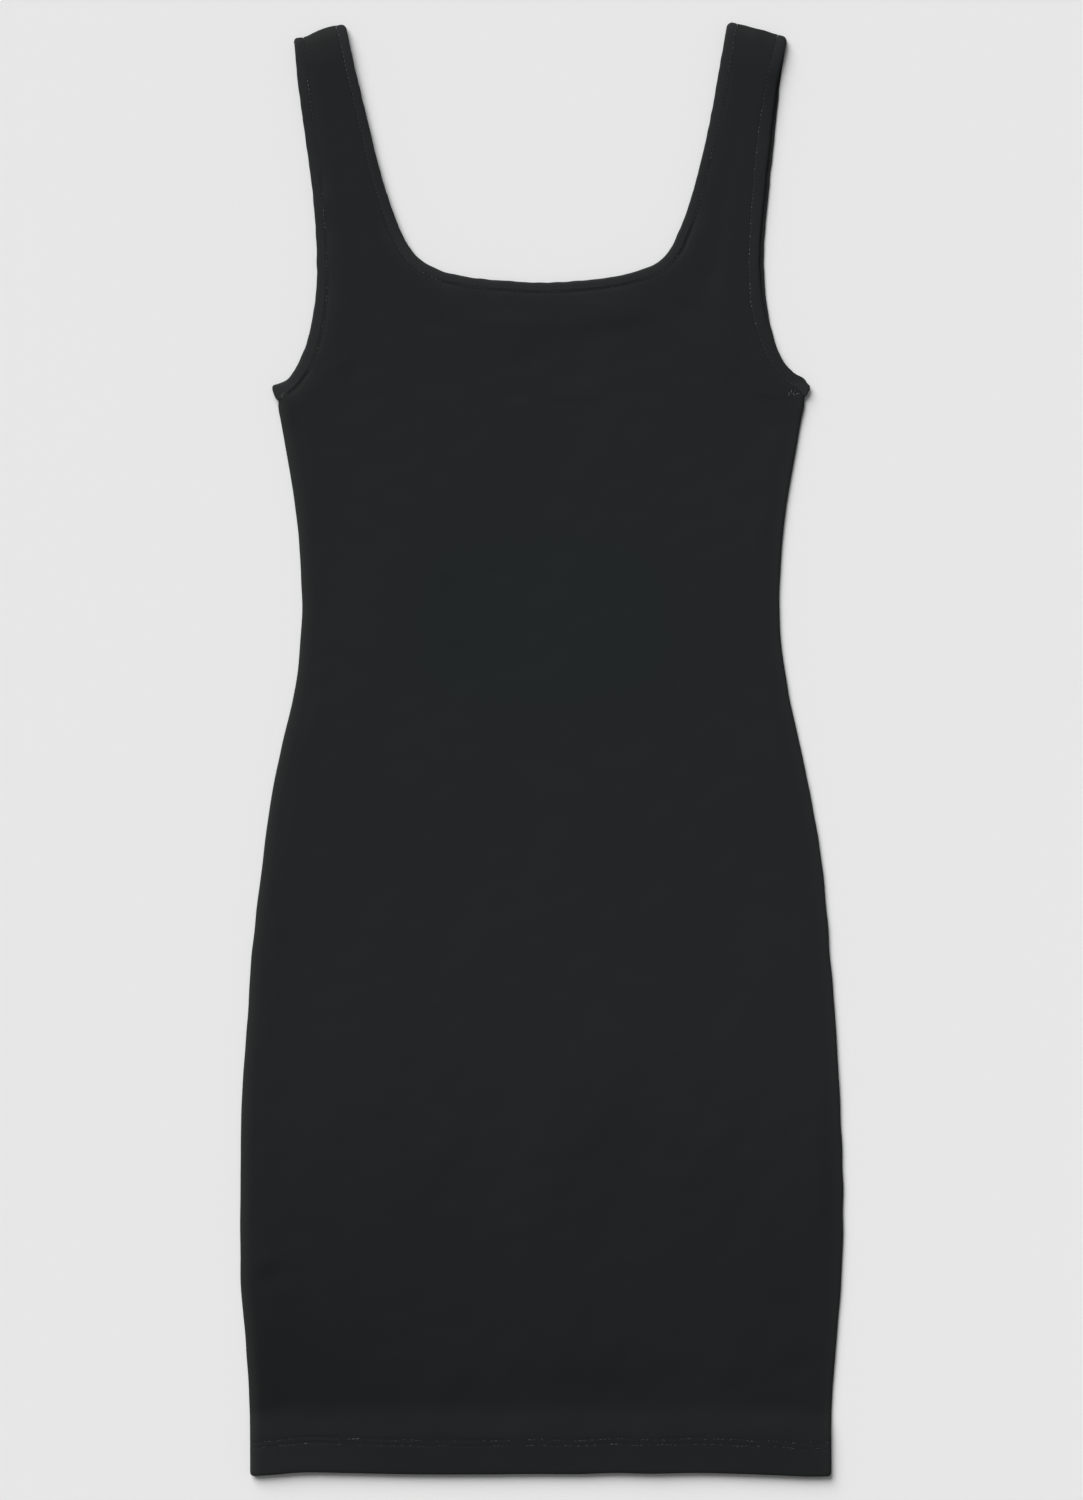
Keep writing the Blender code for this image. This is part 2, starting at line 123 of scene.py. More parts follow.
ARMHOLES = (
    # height, right, left, how far the front's edge is short of the back's on the left
    (676, 166, 165.9, 0),
    (677.3, 161.9, 164.7, 0),
    (679, 158.3, 163.7, 0),
    (684, 154.1, 156.1, 0),
    (691.5, 150, 149.8, 0.3),
    (699, 146.8, 146.4, 0.8),
    (718.5, 142, 141.1, 2.2),
    (738, 139.6, 138.6, 2.8),
    (756.5, 139.5, 138, 2.8),
    (793.5, 141.9, 140.8, 2.6),
    (831, 146.8, 144.7, 2.5),
    (868, 151.7, 148.7, 1.5),
    (888.3, 153.6, 152.1, 0),
)

NECKLINE = (
    # height, right, left
    (898, 121.3, 114.8),
    (877.3, 116.8, 111.1),
    (840.1, 107.9, 104.5),
    (802.9, 98.5, 95.8),
    (784.3, 92.4, 90.3),
    (771.9, 87.5, 85.4),
    (760.1, 81, 79.7),
    (752.7, 73.6, 73),
    (747.4, 63.4, 61.4),
    (742.8, 44.3, 42.5),
    (740.7, 22.6, 23.4),
    (739.5, 0, 0),
)
BACK_NECK_INSET = 1.5  # keeps the back's neckline behind the front's
BACK_NECK_RUN = 30.0  # length over which that fades to nothing at the shoulders

HEM_WAVE = (
    # across, drop
    (-180, 1),
    (-166, 0.1),
    (-152, -1.2),
    (-120, -1),
    (-88, -0.3),
    (-45, -0.1),
    (0, -0.4),
    (22, -0.3),
    (48, -1.1),
    (66, -0.6),
    (94, -1.1),
    (128, -0.3),
    (148, 0.5),
    (165, 1.2),
    (180, 1.1),
)
HEM_WAVE_REACH = 60.0  # the sections over the hem take up its wave over this height
FURROW_DEPTH, FURROW_REACH = 0.2, 0.9  # of the furrows under the hem's stitches
HEM_ALLOWANCE = 20.0
HEM_CORNER = 2.5

SWELLS = (
    # across, height, half length, half width, lean from upright in degrees, rise
    (-14, 712, 34, 13, 78, 0.9),
    (133, 706, 34, 11, 14, -0.7),
    (-139, 668, 30, 7, 52, -0.6),
    (143, 664, 26, 8, -50, -0.6),
    (-88, 600, 95, 26, 12, 0.5),
    (66, 560, 120, 34, -7, 0.6),
    (-20, 505, 70, 22, 82, -0.4),
    (34, 430, 90, 30, 74, 0.5),
    (-110, 350, 110, 24, -9, 0.6),
    (98, 300, 130, 30, 8, -0.5),
    (10, 210, 120, 38, 4, 0.6),
    (-62, 150, 80, 26, -14, -0.5),
    (-148, 64, 44, 22, 8, -0.8),
    (120, 92, 60, 24, 16, 0.5),
    (44, 52, 60, 13, 86, -0.5),
    (-133, 836, 9, 2.6, 52, -0.35),
    (-137, 824, 11, 3, 46, 0.4),
    (-171, 134, 12, 4.5, 78, 0.6),
    (-172, 121, 10, 4, 84, -0.5),
)

SHOULDER_RISE = (
    # share of the way from armhole to neck, how far the right and the left fold bow out there
    (0, -0.9, -1),
    (0.05, 0.4, 1.3),
    (0.12, 0.4, 1.9),
    (0.25, 0.2, 2.1),
    (0.4, 1, 2.5),
    (0.55, 1.6, 2.3),
    (0.7, 1.8, 2.5),
    (0.8, 1.5, 2.4),
    (0.88, 0.9, 2.2),
    (0.95, 0.2, 1.6),
    (1, -1.4, -0.4),
)
NEAR_SHOULDER = (3.0, 26.0)

# How finely the cloth is divided
ROLL_ANGLES = np.radians((0.0, 16.0, 34.0, 52.0, 71.0, 90.0))  # round the side seams
ROLL_STRETCH = 2.4  # the front's roll is this much wider than it is high
ROLL_LIMIT = 4.6  # and no wider than this
SIDE_RIPPLE = 0.1  # the side seams waver this much, and less away from their middle
RIPPLE_MIDDLE, RIPPLE_FADES = 330.0, (230.0, 300.0)
PAST_ROLL = 5.6  # from the side seam to the first column past the roll
STRAP_COLUMNS = 18  # over the flat part of a strap, and under it
STRAP_SHARE = 48.0  # from the side seam to the column under a strap's neck edge
NECK_COLUMNS = 72
YOKE_ROWS = 44
STRAP_ROWS = 42
STRAP_ROOT = 776.0  # where the straps leave the yoke
BODY_STEP = 3.6
FOLD_ANGLES = np.radians((15.0, 30.0, 45.0, 60.0, 75.0, 89.0))
HEM_FOLD_ANGLES = np.radians((30.0, 60.0, 90.0, 120.0, 150.0, 180.0))
ALLOWANCE_ROWS = (3.0, 7.0, 13.0, HEM_ALLOWANCE)

# Seeds of the uneven values
EDGE_SEEDS = {ARMHOLE[RIGHT]: 20, ARMHOLE[LEFT]: 30, NECK: 40}
SIDE_SEED, DIMPLE_SEED, LOFT_SEED, FURROW_SEED = 50, 60, 61, 63
TOPSTITCHING_SEED, TACK_SEED = 70, 90
HEM_SEEDS = {FRONT: 80, BACK: 84}

# The bound edges
BAND_WIDTH = 5.3
BAND_EXTRA = (
    # height, extra width at the right armhole, the left, the neck's right half and its left
    (676, 4.4, 1.2, 1, 1),
    (679, 2.6, 1.4, 1, 1),
    (684, 2.3, 1.8, 1, 1),
    (691.5, 3.1, 2.1, 1, 1),
    (705, 2.6, 2.3, 1, 1),
    (728, 2.1, 2.3, 1, 1),
    (752, 1.4, 1.5, 1.1, 1.3),
    (765, 1.1, 1.5, 1.1, 1.6),
    (790, 1, 2.4, 0.9, 1.1),
    (815, 1.2, 3, 0.7, 0.5),
    (840, 1.6, 2.8, 0.6, 1.3),
    (860, 1.5, 2, 0.5, 1.7),
    (898, 1, 1, 0.4, 0.8),
)
BAND_LIGHT = (
    # height, how much painted light each of the four gets, plain at 0.2
    (676, 1, 0.7, 0.7, 0.7),
    (680, 0.8, 0.35, 0.7, 0.7),
    (700, 0.65, 0.25, 0.7, 0.7),
    (750, 0.62, 0.25, 0.7, 0.7),
    (765, 0.62, 0.25, 0.5, 0.6),
    (790, 0.6, 0.25, 0.25, 0.55),
    (820, 0.5, 0.25, 0.22, 0.55),
    (850, 0.5, 0.1, 0.22, 0.6),
    (868, 0.55, 0, 0.3, 0.6),
    (880, 0.6, 0.3, 0.45, 0.65),
    (898, 0.8, 0.7, 0.7, 0.8),
)
UNDER_LIGHT = 0.4  # painted light added to the back's bands over that
STITCH_SHINE = (
    # height, how much painted glint the stitches of the four get
    (676, 0.3, 0, 0.1, 0.1),
    (706, 0.4, 0.1, 0.1, 0.1),
    (712, 0.8, 0.8, 0.1, 0.1),
    (738, 0.8, 0.8, 0.1, 0.1),
    (746, 0.1, 0.1, 0.15, 0.1),
    (754, 0.6, 0.7, 0.15, 0.1),
    (772, 0.9, 0.9, 0.1, 0.1),
    (792, 0.8, 0.1, 0.1, 0.2),
    (799, 0.1, 0.6, 0.1, 0.3),
    (806, 0, 0.1, 0.1, 0.7),
    (816, 0.1, 0.8, 0.1, 0.6),
    (841, 0.1, 0.9, 0.1, 0),
    (848, 0.8, 0.1, 0.1, 0),
    (866, 0.8, 0, 0.3, 0.1),
    (872, 0.1, 0, 0.6, 0.1),
    (898, 0, 0, 0.3, 0.4),
)
BAND_PULL = (
    # height, how tightly each of the four is sewn down, plainly at 1
    (676, 0, 0.2, 0.8, 0.8),
    (677.2, 0.2, 0.4, 0.8, 0.8),
    (678.4, 1.4, 0.35, 0.8, 0.8),
    (690, 1.3, 0.3, 0.8, 0.8),
    (700, 0.95, 0.25, 0.8, 0.8),
    (755, 0.9, 0.2, 0.8, 0.8),
    (775, 0.85, 0.2, 0.75, 0.9),
    (800, 0.8, 0.2, 0.25, 0.6),
    (840, 0.7, 0.2, 0.15, 0.45),
    (898, 0.5, 0.2, 0.15, 0.4),
)
ARMHOLE_HALVES, NECK_HALVES = (0, 1), (2, 3)  # these tables' columns of values
PULL, PULL_WAVER, PULL_LIMITS = 0.9, 0.22, (0.1, 1.5)  # times what the last table gives
EDGE_WAVER, WIDTH_WAVER = 0.07, 0.07
SHOULDER_MITRE = 14.0  # a band turns to lie along the shoulder fold over this length
SEAM_MITRE = 6.0  # and to end along the side seam over this one
SEAM_LEAN = 17.0  # degrees from upright that the side seams lean at the underarms
# How far an armhole band's rounded ends go out and up, and the share they lack low down
END_REACH = {RIGHT: (1.81, -0.57, 0.1), LEFT: (1.2, -0.55, 0.35)}
GROOVE_REACH = 2.2  # on the cloth beside the stitches
GROOVE_DEPTH = 0.5
BAND_CREST = 0.97
BAND_ROUNDING = (0.11, 0.15)  # share of the width that is rounded, and how much a pull adds
BAND_RIDGE = 0.12  # the band's second, lower crest beside the stitches
RIDGE_SHARE, RIDGE_HALF = 0.76, 0.2  # where across the band that is, and its half width
BAND_DITCH = 0.5  # how far the stitches pull the band's surface under the cloth's
DITCH_SHARES = (0.78, 0.98)
BAND_PUCKER = 0.12  # each stitch pulls the band in and out this much
BAND_SHARES = (0.0, 0.015, 0.06, 0.14, 0.26, 0.42, 0.56, 0.68, 0.78, 0.86, 0.93, 1.0)
# Shares of the width, and heights over the band's middle, back along its inner face
INNER_FACE = ((1.0, -0.5), (0.93, -0.9), (0.5, -0.9), (0.1, -0.8), (0.01, -0.4))
SECTIONS_A_STITCH = 3
STITCH_SHARE = 0.92  # where the topstitching runs across a band
EDGE_STITCH = 0.55  # share of each of its stitches that shows
LIT_STITCHES = 0.45  # share of the stitches in a bright stretch that get a painted glint
DULL_SHINE = 0.55  # the most painted glint that the others get
STITCH_TURN = 7.0  # degrees that stitches turn from their row
SKEWED_SHARE, SKEWED_TURN = 0.06, 38.0  # a few turn by this much more
STITCH_DEPTH, STITCH_SHIFT = 0.07, 0.05  # how unevenly they lie in depth and across their row
SUNK_SHARE, HEM_SUNK = 0.45, 0.14  # this share of the hem's lie this much deeper
STITCH_LENGTHS, STITCH_WIDTHS = (0.72, 0.95), (0.85, 1.15)  # shares of the full sizes
HEM_ROW_WAVER, HEM_ROW_INSET, HEM_STITCH_SINK = 0.25, 3.5, 0.04  # the inset is from the sides
TACKS = (
    # across, height, degrees from level
    (153.6, 670.2, 35),
    (155, 671.9, 100),
    (156.6, 670, -60),
    (157.6, 672.4, 80),
    (158.8, 670.5, 20),
    (159.3, 673.4, 110),
    (-162.4, 671.2, 60),
    (-161, 669.6, 110),
    (-159.8, 670.9, 40),
)
# The tacks' length, lift over the cloth and painted glint
TACK_LENGTH, TACK_LIFT, TACK_SHINE = 3.0, 0.12, 0.55
# Attribute of each stitch's painted glint
THREAD_SHADE = "shade"
# Attribute that carries painted light: painted sheen and highlights on the cloth, painted light and
# shade on the bands
PAINTED_LIGHT = "painted_light"
EDGE_PAINTED_SHEEN = (1.0, 9.0)  # the painted sheen is brightest up to the first distance from a side seam
EDGE_PAINTED_SHEEN_SHARE = {RIGHT: 1.3, LEFT: 0.5}
FOLD_PAINTED_HIGHLIGHT = (3.0, 24.0)
FOLD_PAINTED_HIGHLIGHT_SHARE = 0.75
RIM_PAINTED_HIGHLIGHT = (0.5, 5.0)
RIM_PAINTED_HIGHLIGHT_SHARE = 0.8
LEFT_FOLD_PAINTED_HIGHLIGHT = 0.5  # the left fold's painted highlight beside the right one's
BESIDE_BAND_PAINTED_LIGHT = (1.0, 9.0)
BESIDE_BAND_PAINTED_LIGHT_SHARE = 0.6
BAND_MAP = "along_band"
MATTE = 0.78  # share of a finish's colour that isn't gloss or fuzz
JERSEY_GLOSS = {"Specular_IOR_Level": 0.05, "Sheen_Weight": 0.05, "Sheen_Roughness": 0.45}
JERSEY_TINT = (1.04, 1.0, 1.0)
# Tint of the jersey's painted sheen and highlights
PAINTED_SHEEN_TINT = (1.14, 1.0, 0.93)
WAIST_TINT = (0.92, 1.1, 1.03)
# Tints of the bands' shaded and lit copies
DARK_BAND_TINT = (0.95, 1.0, 0.99)
PALE_BAND_TINT = (1.09, 1.0, 0.945)


# Properties that a user may change


SLOTS = {material["slot"]: material for material in frame["record"]["materials"]}


def finish_colour(slot_name):
    """A finish's colour from the frame's record."""
    return tuple(SLOTS[slot_name]["base_color"])


def length_property(name, description, default):
    return bpy.props.FloatProperty(
        name=name, description=description, default=default, min=0.0, unit="LENGTH", precision=5
    )


def colour_property(name, description, default):
    return bpy.props.FloatVectorProperty(
        name=name, description=description, default=default, min=0.0, max=1.0, subtype="COLOR"
    )


class DressSizes(bpy.types.PropertyGroup):
    stitch_length: length_property("Stitch", "Length of one stitch", 0.0026)
    thread_width: length_property("Thread", "Width of the sewing thread", 0.0004)
    loft: length_property("Loft", "How far the front stands off the back", 0.00055)
    hem_stitch_height: length_property("Hem stitches", "Lower row's height over the hem", 0.0178)
    hem_stitch_gap: length_property("Row gap", "Between the hem's two rows of stitches", 0.0034)


class DressColours(bpy.types.PropertyGroup):
    jersey: colour_property("Jersey", "Colour of the body", finish_colour("jersey"))
    band: colour_property("Bands", "Colour of the bound edges", finish_colour("binding_jersey"))
    thread: colour_property("Thread", "Lightest colour of the stitches", (0.15, 0.155, 0.16))
    floor: colour_property("Floor", "Colour of the surface", (0.8, 0.8, 0.8))


class StageSettings(bpy.types.PropertyGroup):
    camera_height: length_property("Camera", "Camera's height over the dress", 3.0)
    view_length: length_property("View", "Length of floor in view", 0.93)
    sun_strength: bpy.props.FloatProperty(
        name="Main light", description="Strength of the main light", default=4.24, min=0.0
    )
    sun_spread: bpy.props.FloatProperty(
        name="Softness", description="Width of the main light in the sky", default=math.radians(50),
        subtype="ANGLE",
    )
    fill_strength: bpy.props.FloatProperty(
        name="Fill light", description="Strength of the light from all round", default=0.19, min=0.0
    )


# Curves and uneven values


def smooth_curve(rows, per_span=40):
    """Closely spaced points on a smooth curve through the rows."""
    knots = np.asarray(rows, float)
    gaps = np.linalg.norm(np.diff(knots, axis=0), axis=1)[:, None]
    slopes = np.diff(knots, axis=0) / gaps
    bends = np.empty_like(knots)
    bends[1:-1] = (slopes[:-1] * gaps[1:] + slopes[1:] * gaps[:-1]) / (gaps[:-1] + gaps[1:])
    bends[0], bends[-1] = slopes[0], slopes[-1]
    t = np.linspace(0.0, 1.0, per_span, endpoint=False)[:, None]
    spans = [
        (1 + 2 * t) * (1 - t) ** 2 * knots[i]
        + t * (1 - t) ** 2 * gaps[i] * bends[i]
        + t**2 * (3 - 2 * t) * knots[i + 1]
        - t**2 * (1 - t) * gaps[i] * bends[i + 1]
        for i in range(len(gaps))
    ]
    return np.vstack([*spans, knots[-1:]])


def travel(points):
    """Distance along a run of points to each of them."""
    steps = np.linalg.norm(np.diff(points, axis=0), axis=1)
    return np.concatenate([[0.0], np.cumsum(steps)])


def pick(values, along, at):
    """Values of one or several columns read at distances along a curve."""
    if values.ndim == 1:
        return np.interp(at, along, values)
    return np.stack([np.interp(at, along, column) for column in values.T], axis=1)


def fall(distance, limits):
    """1 up to the first limit, 0 from the second, smooth between."""
    t = np.clip((limits[1] - distance) / (limits[1] - limits[0]), 0.0, 1.0)
    return t * t * (3.0 - 2.0 * t)


def crowded(count, start, end):
    """Shares from 0 to 1, closer together at the start and the end where the powers are over 1."""
    t = np.linspace(0.0, 1.0, count + 1)
    return 1.0 - (1.0 - t**start) ** end


def eased(share):
    """Shares from 0 to 1, drawn towards both ends."""
    return (1.0 - np.cos(np.pi * share)) / 2.0


def waves(places, seed, shortest, longest, count=28):
    """Smooth uneven values of about 1 in size, along a line or over a surface."""
    rng = np.random.default_rng(seed)
    places = np.asarray(places, float)
    places = places.reshape(len(places), -1)
    total = np.zeros(len(places))
    for _ in range(count):
        wavelength = shortest * (longest / shortest) ** rng.random()
        heading = rng.normal(size=places.shape[1])
        heading /= np.linalg.norm(heading)
        total += np.cos(places @ heading * 2 * np.pi / wavelength + rng.uniform(0, 2 * np.pi))
    return total / math.sqrt(count / 2)


def into_cloth(points, side):
    """Unit vectors square to a curve, towards the cloth on its right (-1) or left (1)."""
    along = np.gradient(points, axis=0)
    along /= np.linalg.norm(along, axis=1)[:, None]
    return -side * np.stack([along[:, 1], -along[:, 0]], axis=1)


# Finished edges


def shoulder_line(side):
    """A shoulder fold's two ends, at the armhole and at the neck, and its unit direction."""
    outer, inner = (
        np.array([side * row[COLUMN[side]], row[0]]) for row in (ARMHOLES[-1], NECKLINE[0])
    )
    return outer, inner, (inner - outer) / np.linalg.norm(inner - outer)


def over_shoulder(side):
    """The direction square to a shoulder fold, away from the dress."""
    along = shoulder_line(side)[2]
    over = np.array([along[1], -along[0], 0.0])
    return over * np.sign(over[1])


def drawn_out(place):
    """Points moved so that the shoulder folds bow out a little and their corners are round."""
    moved = place.copy()
    for side in SIDES:
        outer, inner, along = shoulder_line(side)
        over = over_shoulder(side)[:2]
        length = np.linalg.norm(inner - outer)
        bow = smooth_curve([(row[0] * length, row[COLUMN[side]]) for row in SHOULDER_RISE])
        offset = place[:, :2] - outer
        share = fall(-(offset @ over), NEAR_SHOULDER) * (side * place[:, 0] > 0.0)
        rise = share * np.interp(offset @ along, bow[:, 0], bow[:, 1])
        moved[:, :2] += rise[:, None] * over
    return moved


class Edge:
    """One layer's bound edge, as closely spaced points from one end to the other."""

    SPACING = 0.5

    def __init__(self, points, side, seed, folds, seams, columns):
        along = travel(points)
        self.length = along[-1]
        self.along = np.linspace(0.0, self.length, int(self.length / self.SPACING))
        points = pick(points, along, self.along)
        across = into_cloth(points, side)
        self.to_fold = np.full(len(points), np.inf)
        turns = [(*fold, SHOULDER_MITRE) for fold in folds.items()]
        for end, direction, length in turns + [(*seam, SEAM_MITRE) for seam in seams.items()]:
            distance = np.abs(self.along - self.along[end])
            if end in folds:
                self.to_fold = np.minimum(self.to_fold, distance)
            mitre = direction / abs(np.dot(direction, across[end]))
            turn = fall(distance, (0.0, length))[:, None]
            across = (1.0 - turn) * across + turn * mitre
        calm = 1.0 - fall(np.minimum(self.along, self.length - self.along), (2.0, 12.0))
        waver = EDGE_WAVER * calm * waves(self.along, seed, 8.0, 30.0)
        self.points = points + waver[:, None] * across
        self.across = across
        pulled = PULL + PULL_WAVER * waves(self.along, seed + 1, 16.0, 90.0)
        self.tight = np.clip(pulled * by_height(BAND_PULL, points, columns), *PULL_LIMITS)
        uneven = WIDTH_WAVER * calm * waves(self.along, seed + 2, 9.0, 40.0)
        self.width = BAND_WIDTH + by_height(BAND_EXTRA, points, columns) + uneven

    def at(self, distances):
        """Points, ways into the cloth, widths, tightness and distances to the nearest fold."""
        values = (self.points, self.across, self.width, self.tight, self.to_fold)
        return [pick(value, self.along, distances) for value in values]

    def panel_side(self, distances=None):
        """Where the cloth meets the band."""
        distances = self.along if distances is None else distances
        points, across, width, *_ = self.at(distances)
        return points + (width + SEAM_GAP)[:, None] * across


def by_height(table, points, columns):
    """Values of a table of heights at points; columns are for its right half and its left."""
    heights, *values = zip(*table)
    right, left = (np.interp(points[:, 1], heights, values[column]) for column in columns)
    return np.where(points[:, 0] < 0, right, left)


def armhole_edge(side, layer):
    """From the underarm to the shoulder."""
    short = 1.0 if (side == LEFT and layer == FRONT) else 0.0
    rows = [(side * (row[COLUMN[side]] - short * row[3]), row[0]) for row in ARMHOLES]
    lean = math.radians(SEAM_LEAN)
    seams = {0: np.array([-side * math.sin(lean), -math.cos(lean)])}
    folds = {-1: shoulder_line(side)[2]}
    seed = EDGE_SEEDS[ARMHOLE[side]]
    return Edge(smooth_curve(rows), side, seed, folds, seams, ARMHOLE_HALVES)


def neck_edge(layer):
    """From the right shoulder down, across and up to the left shoulder."""
    right = [(-row[1], row[0]) for row in NECKLINE]
    left = [(row[2], row[0]) for row in NECKLINE[-2::-1]]
    points = smooth_curve(right + left)
    if layer == BACK:
        along = travel(points)
        from_end = np.minimum(along, along[-1] - along)
        inset = BACK_NECK_INSET * np.clip(from_end / BACK_NECK_RUN, 0.0, 1.0)
        points = points + inset[:, None] * into_cloth(points, RIGHT)
    folds = {0: -shoulder_line(RIGHT)[2], -1: -shoulder_line(LEFT)[2]}
    return Edge(points, RIGHT, EDGE_SEEDS[NECK], folds, {}, NECK_HALVES)


EDGES = {
    layer: {ARMHOLE[side]: armhole_edge(side, layer) for side in SIDES} | {NECK: neck_edge(layer)}
    for layer in (FRONT, BACK)
}


def root_crossings(edge):
    """Distances along an edge to where it first and last crosses the straps' roots."""
    crossings = np.flatnonzero(np.diff(edge.points[:, 1] > STRAP_ROOT))
    return edge.along[crossings[0] + 1], edge.along[crossings[-1]]


YOKE_SHARES = crowded(YOKE_ROWS, 1.4, 1.5)
STRAP_SHARES = crowded(STRAP_ROWS, 1.0, 1.3)


def armhole_distances(edge):
    """Stations up an armhole: the yoke's rows, then the strap's."""
    root = root_crossings(edge)[0]
    strap = root + (edge.length - root) * STRAP_SHARES
    return np.concatenate([root * YOKE_SHARES, strap[1:]])


def neck_distances(edge):
    """Stations round the neck: down the right strap, across the yoke and up the left strap."""
    right, left = root_crossings(edge)
    share = np.linspace(0.0, 1.0, NECK_COLUMNS + 1)
    share = 0.45 * share + 0.55 * eased(share)  # closer at the corners
    yoke = (right + (left - right) * share)[1:-1]
    left_strap = left + (edge.length - left) * STRAP_SHARES
    return np.concatenate([right * (1.0 - STRAP_SHARES[::-1]), yoke, left_strap])


# How high the cloth lies


def fold_bulge(to_fold):
    """Extra height of a strap's front beside its shoulder fold, falling to none at the fold."""
    near = np.clip(1.0 - to_fold / NEAR_FOLD[0], 0.0, 1.0)
    return FOLD_BULGE * np.sqrt(1.0 - near**2) * fall(to_fold, NEAR_FOLD)


def hem_height(x, reach):
    """The hem line's height, with its wave and its rounded corners."""
    wave = smooth_curve(HEM_WAVE)
    height = -np.interp(x, wave[:, 0], wave[:, 1])
    inside = np.clip(HEM_CORNER - (reach - np.abs(x)), 0.0, HEM_CORNER)
    return height + HEM_CORNER - np.sqrt(HEM_CORNER**2 - inside**2)


def reach(side, height, corner):
    """Half width of the body; corner is the underarm end of the cloth, beside the band."""
    column = COLUMN[side]
    rows = [(row[0], row[column]) for row in SIDE_SEAMS] + [(corner[1], side * corner[0])]
    curve = smooth_curve(rows)
    height = np.asarray(height, float)
    calm = fall(np.abs(height - RIPPLE_MIDDLE), RIPPLE_FADES)
    uneven = waves(height.reshape(-1), SIDE_SEED + column, 22.0, 90.0).reshape(height.shape)
    ripple = SIDE_RIPPLE * calm * uneven
    return np.interp(height, curve[:, 0], curve[:, 1]) + ripple


def swells(x, height):
    """Soft ridges and troughs where the front bulges or has been pressed."""
    total = np.zeros(len(x))
    for across, up, long, wide, lean, rise in SWELLS:
        turn = math.radians(lean)
        along = (height - up) * math.cos(turn) + (x - across) * math.sin(turn)
        aside = (x - across) * math.cos(turn) - (height - up) * math.sin(turn)
        total += rise * np.exp(-((along / long) ** 2) - (aside / wide) ** 2)
    return total


class Lie:
    """How high one layer's cloth lies over the floor, at any place on it."""

    def __init__(self, layer, sizes):
        self.layer = layer
        self.loft = sizes.loft / MM
        self.stitch_rows = [
            sizes.hem_stitch_height / MM,
            (sizes.hem_stitch_height + sizes.hem_stitch_gap) / MM,
        ]
        edges = EDGES[layer].values()
        self.corners = {side: EDGES[layer][ARMHOLE[side]].panel_side()[0] for side in SIDES}
        self.tight = np.concatenate([edge.tight for edge in edges])
        self.bands = self.tree(np.vstack([edge.panel_side() for edge in edges]))
        self.folds = self.tree(
            np.vstack([np.linspace(*shoulder_line(side)[:2], 60) for side in SIDES])
        )

    @staticmethod
    def tree(places):
        tree = KDTree(len(places))
        for index, place in enumerate(places):
            tree.insert((*place, 0.0), index)
        tree.balance()
        return tree

    def reaches(self, height):
        """Half widths of the body at heights, on the right and on the left."""
        return [reach(side, height, self.corners[side]) for side in SIDES]

    def inset(self, x, height):
        """Distance in from the nearer side seam, for places under the armholes."""
        return np.where(x < 0, *self.reaches(height)) - np.abs(x)

    def under_arms(self, height):
        """Which heights lie low enough to have side seams."""
        return height < self.corners[RIGHT][1] + NEAR_SIDE[0]

    def nearest(self, x, height):
        """Distances to the nearest band and shoulder fold, and how tightly the band is sewn."""
        places = [(a, b, 0.0) for a, b in zip(x, height)]
        bands = [self.bands.find(place) for place in places]
        to_fold = np.array([self.folds.find(place)[2] for place in places])
        tight = self.tight[[found[1] for found in bands]]
        return np.array([found[2] for found in bands]), to_fold, tight

    def level(self, x, height):
        """Height of the middle of the cloth over the floor."""
        x, height = np.asarray(x, float), np.asarray(height, float)
        to_band, to_fold, tight = self.nearest(x, height)
        rise = fall(np.minimum(to_band, to_fold), NEAR_BAND[self.layer])
        groove = GROOVE_DEPTH * tight * fall(to_band, (0.0, GROOVE_REACH)) * (to_fold > 1.0)
        places = np.stack([x, height], axis=1)
        lift = (BAND_LEVEL[self.layer] - LEVEL[self.layer]) * rise
        if self.layer == BACK:
            dimple = 0.1 + 0.06 * waves(places, DIMPLE_SEED, 30.0, 120.0)
            calm = (1.0 - fall(to_band, (4.0, 16.0))) * (1.0 - fall(height, (6.0, 30.0)))
            return LEVEL[BACK] + lift + calm * dimple + 0.5 * groove
        inset, under_arms = self.inset(x, height), self.under_arms(height)
        side = SIDE_RISE * fall(inset, NEAR_SIDE) * under_arms
        hem = (FRONT_HEM_LEVEL - LEVEL[FRONT]) * fall(height, NEAR_HEM)
        lift = np.maximum.reduce([lift, side, hem])
        held = np.maximum(fall(to_band, (2.0, 22.0)), fall(inset, (3.0, 18.0)) * under_arms)
        calm = (1.0 - held) * (1.0 - 0.75 * fall(height, (4.0, 34.0)))
        uneven = 0.45 * waves(places, LOFT_SEED, 70.0, 220.0)
        uneven += 0.16 * waves(places, LOFT_SEED + 1, 16.0, 48.0)
        loft = self.loft * (1.0 + uneven) + swells(x, height)
        bulge = fold_bulge(to_fold) * (height > STRAP_ROOT)
        level = LEVEL[FRONT] + lift - groove + np.maximum(calm * loft, 0.0) + bulge
        return level + self.sewn(x, height)

    def sewn(self, x, height):
        """The shallow furrows under the hem's rows of stitches."""
        pull = 0.5 + 0.45 * waves(x, FURROW_SEED, 18.0, 90.0)
        pull += 0.4 * waves(x, FURROW_SEED + 1, 3.0, 9.0)
        pull = np.clip(pull + 0.5 * fall(x, (-60.0, -10.0)), 0.0, 1.4)  # deeper on the right
        total = np.zeros(len(x))
        for row in self.stitch_rows:
            off = (height - hem_height(x, np.inf) - row) / FURROW_REACH
            total -= FURROW_DEPTH * pull * np.exp(-(off**2))
        return total


# The two layers of cloth


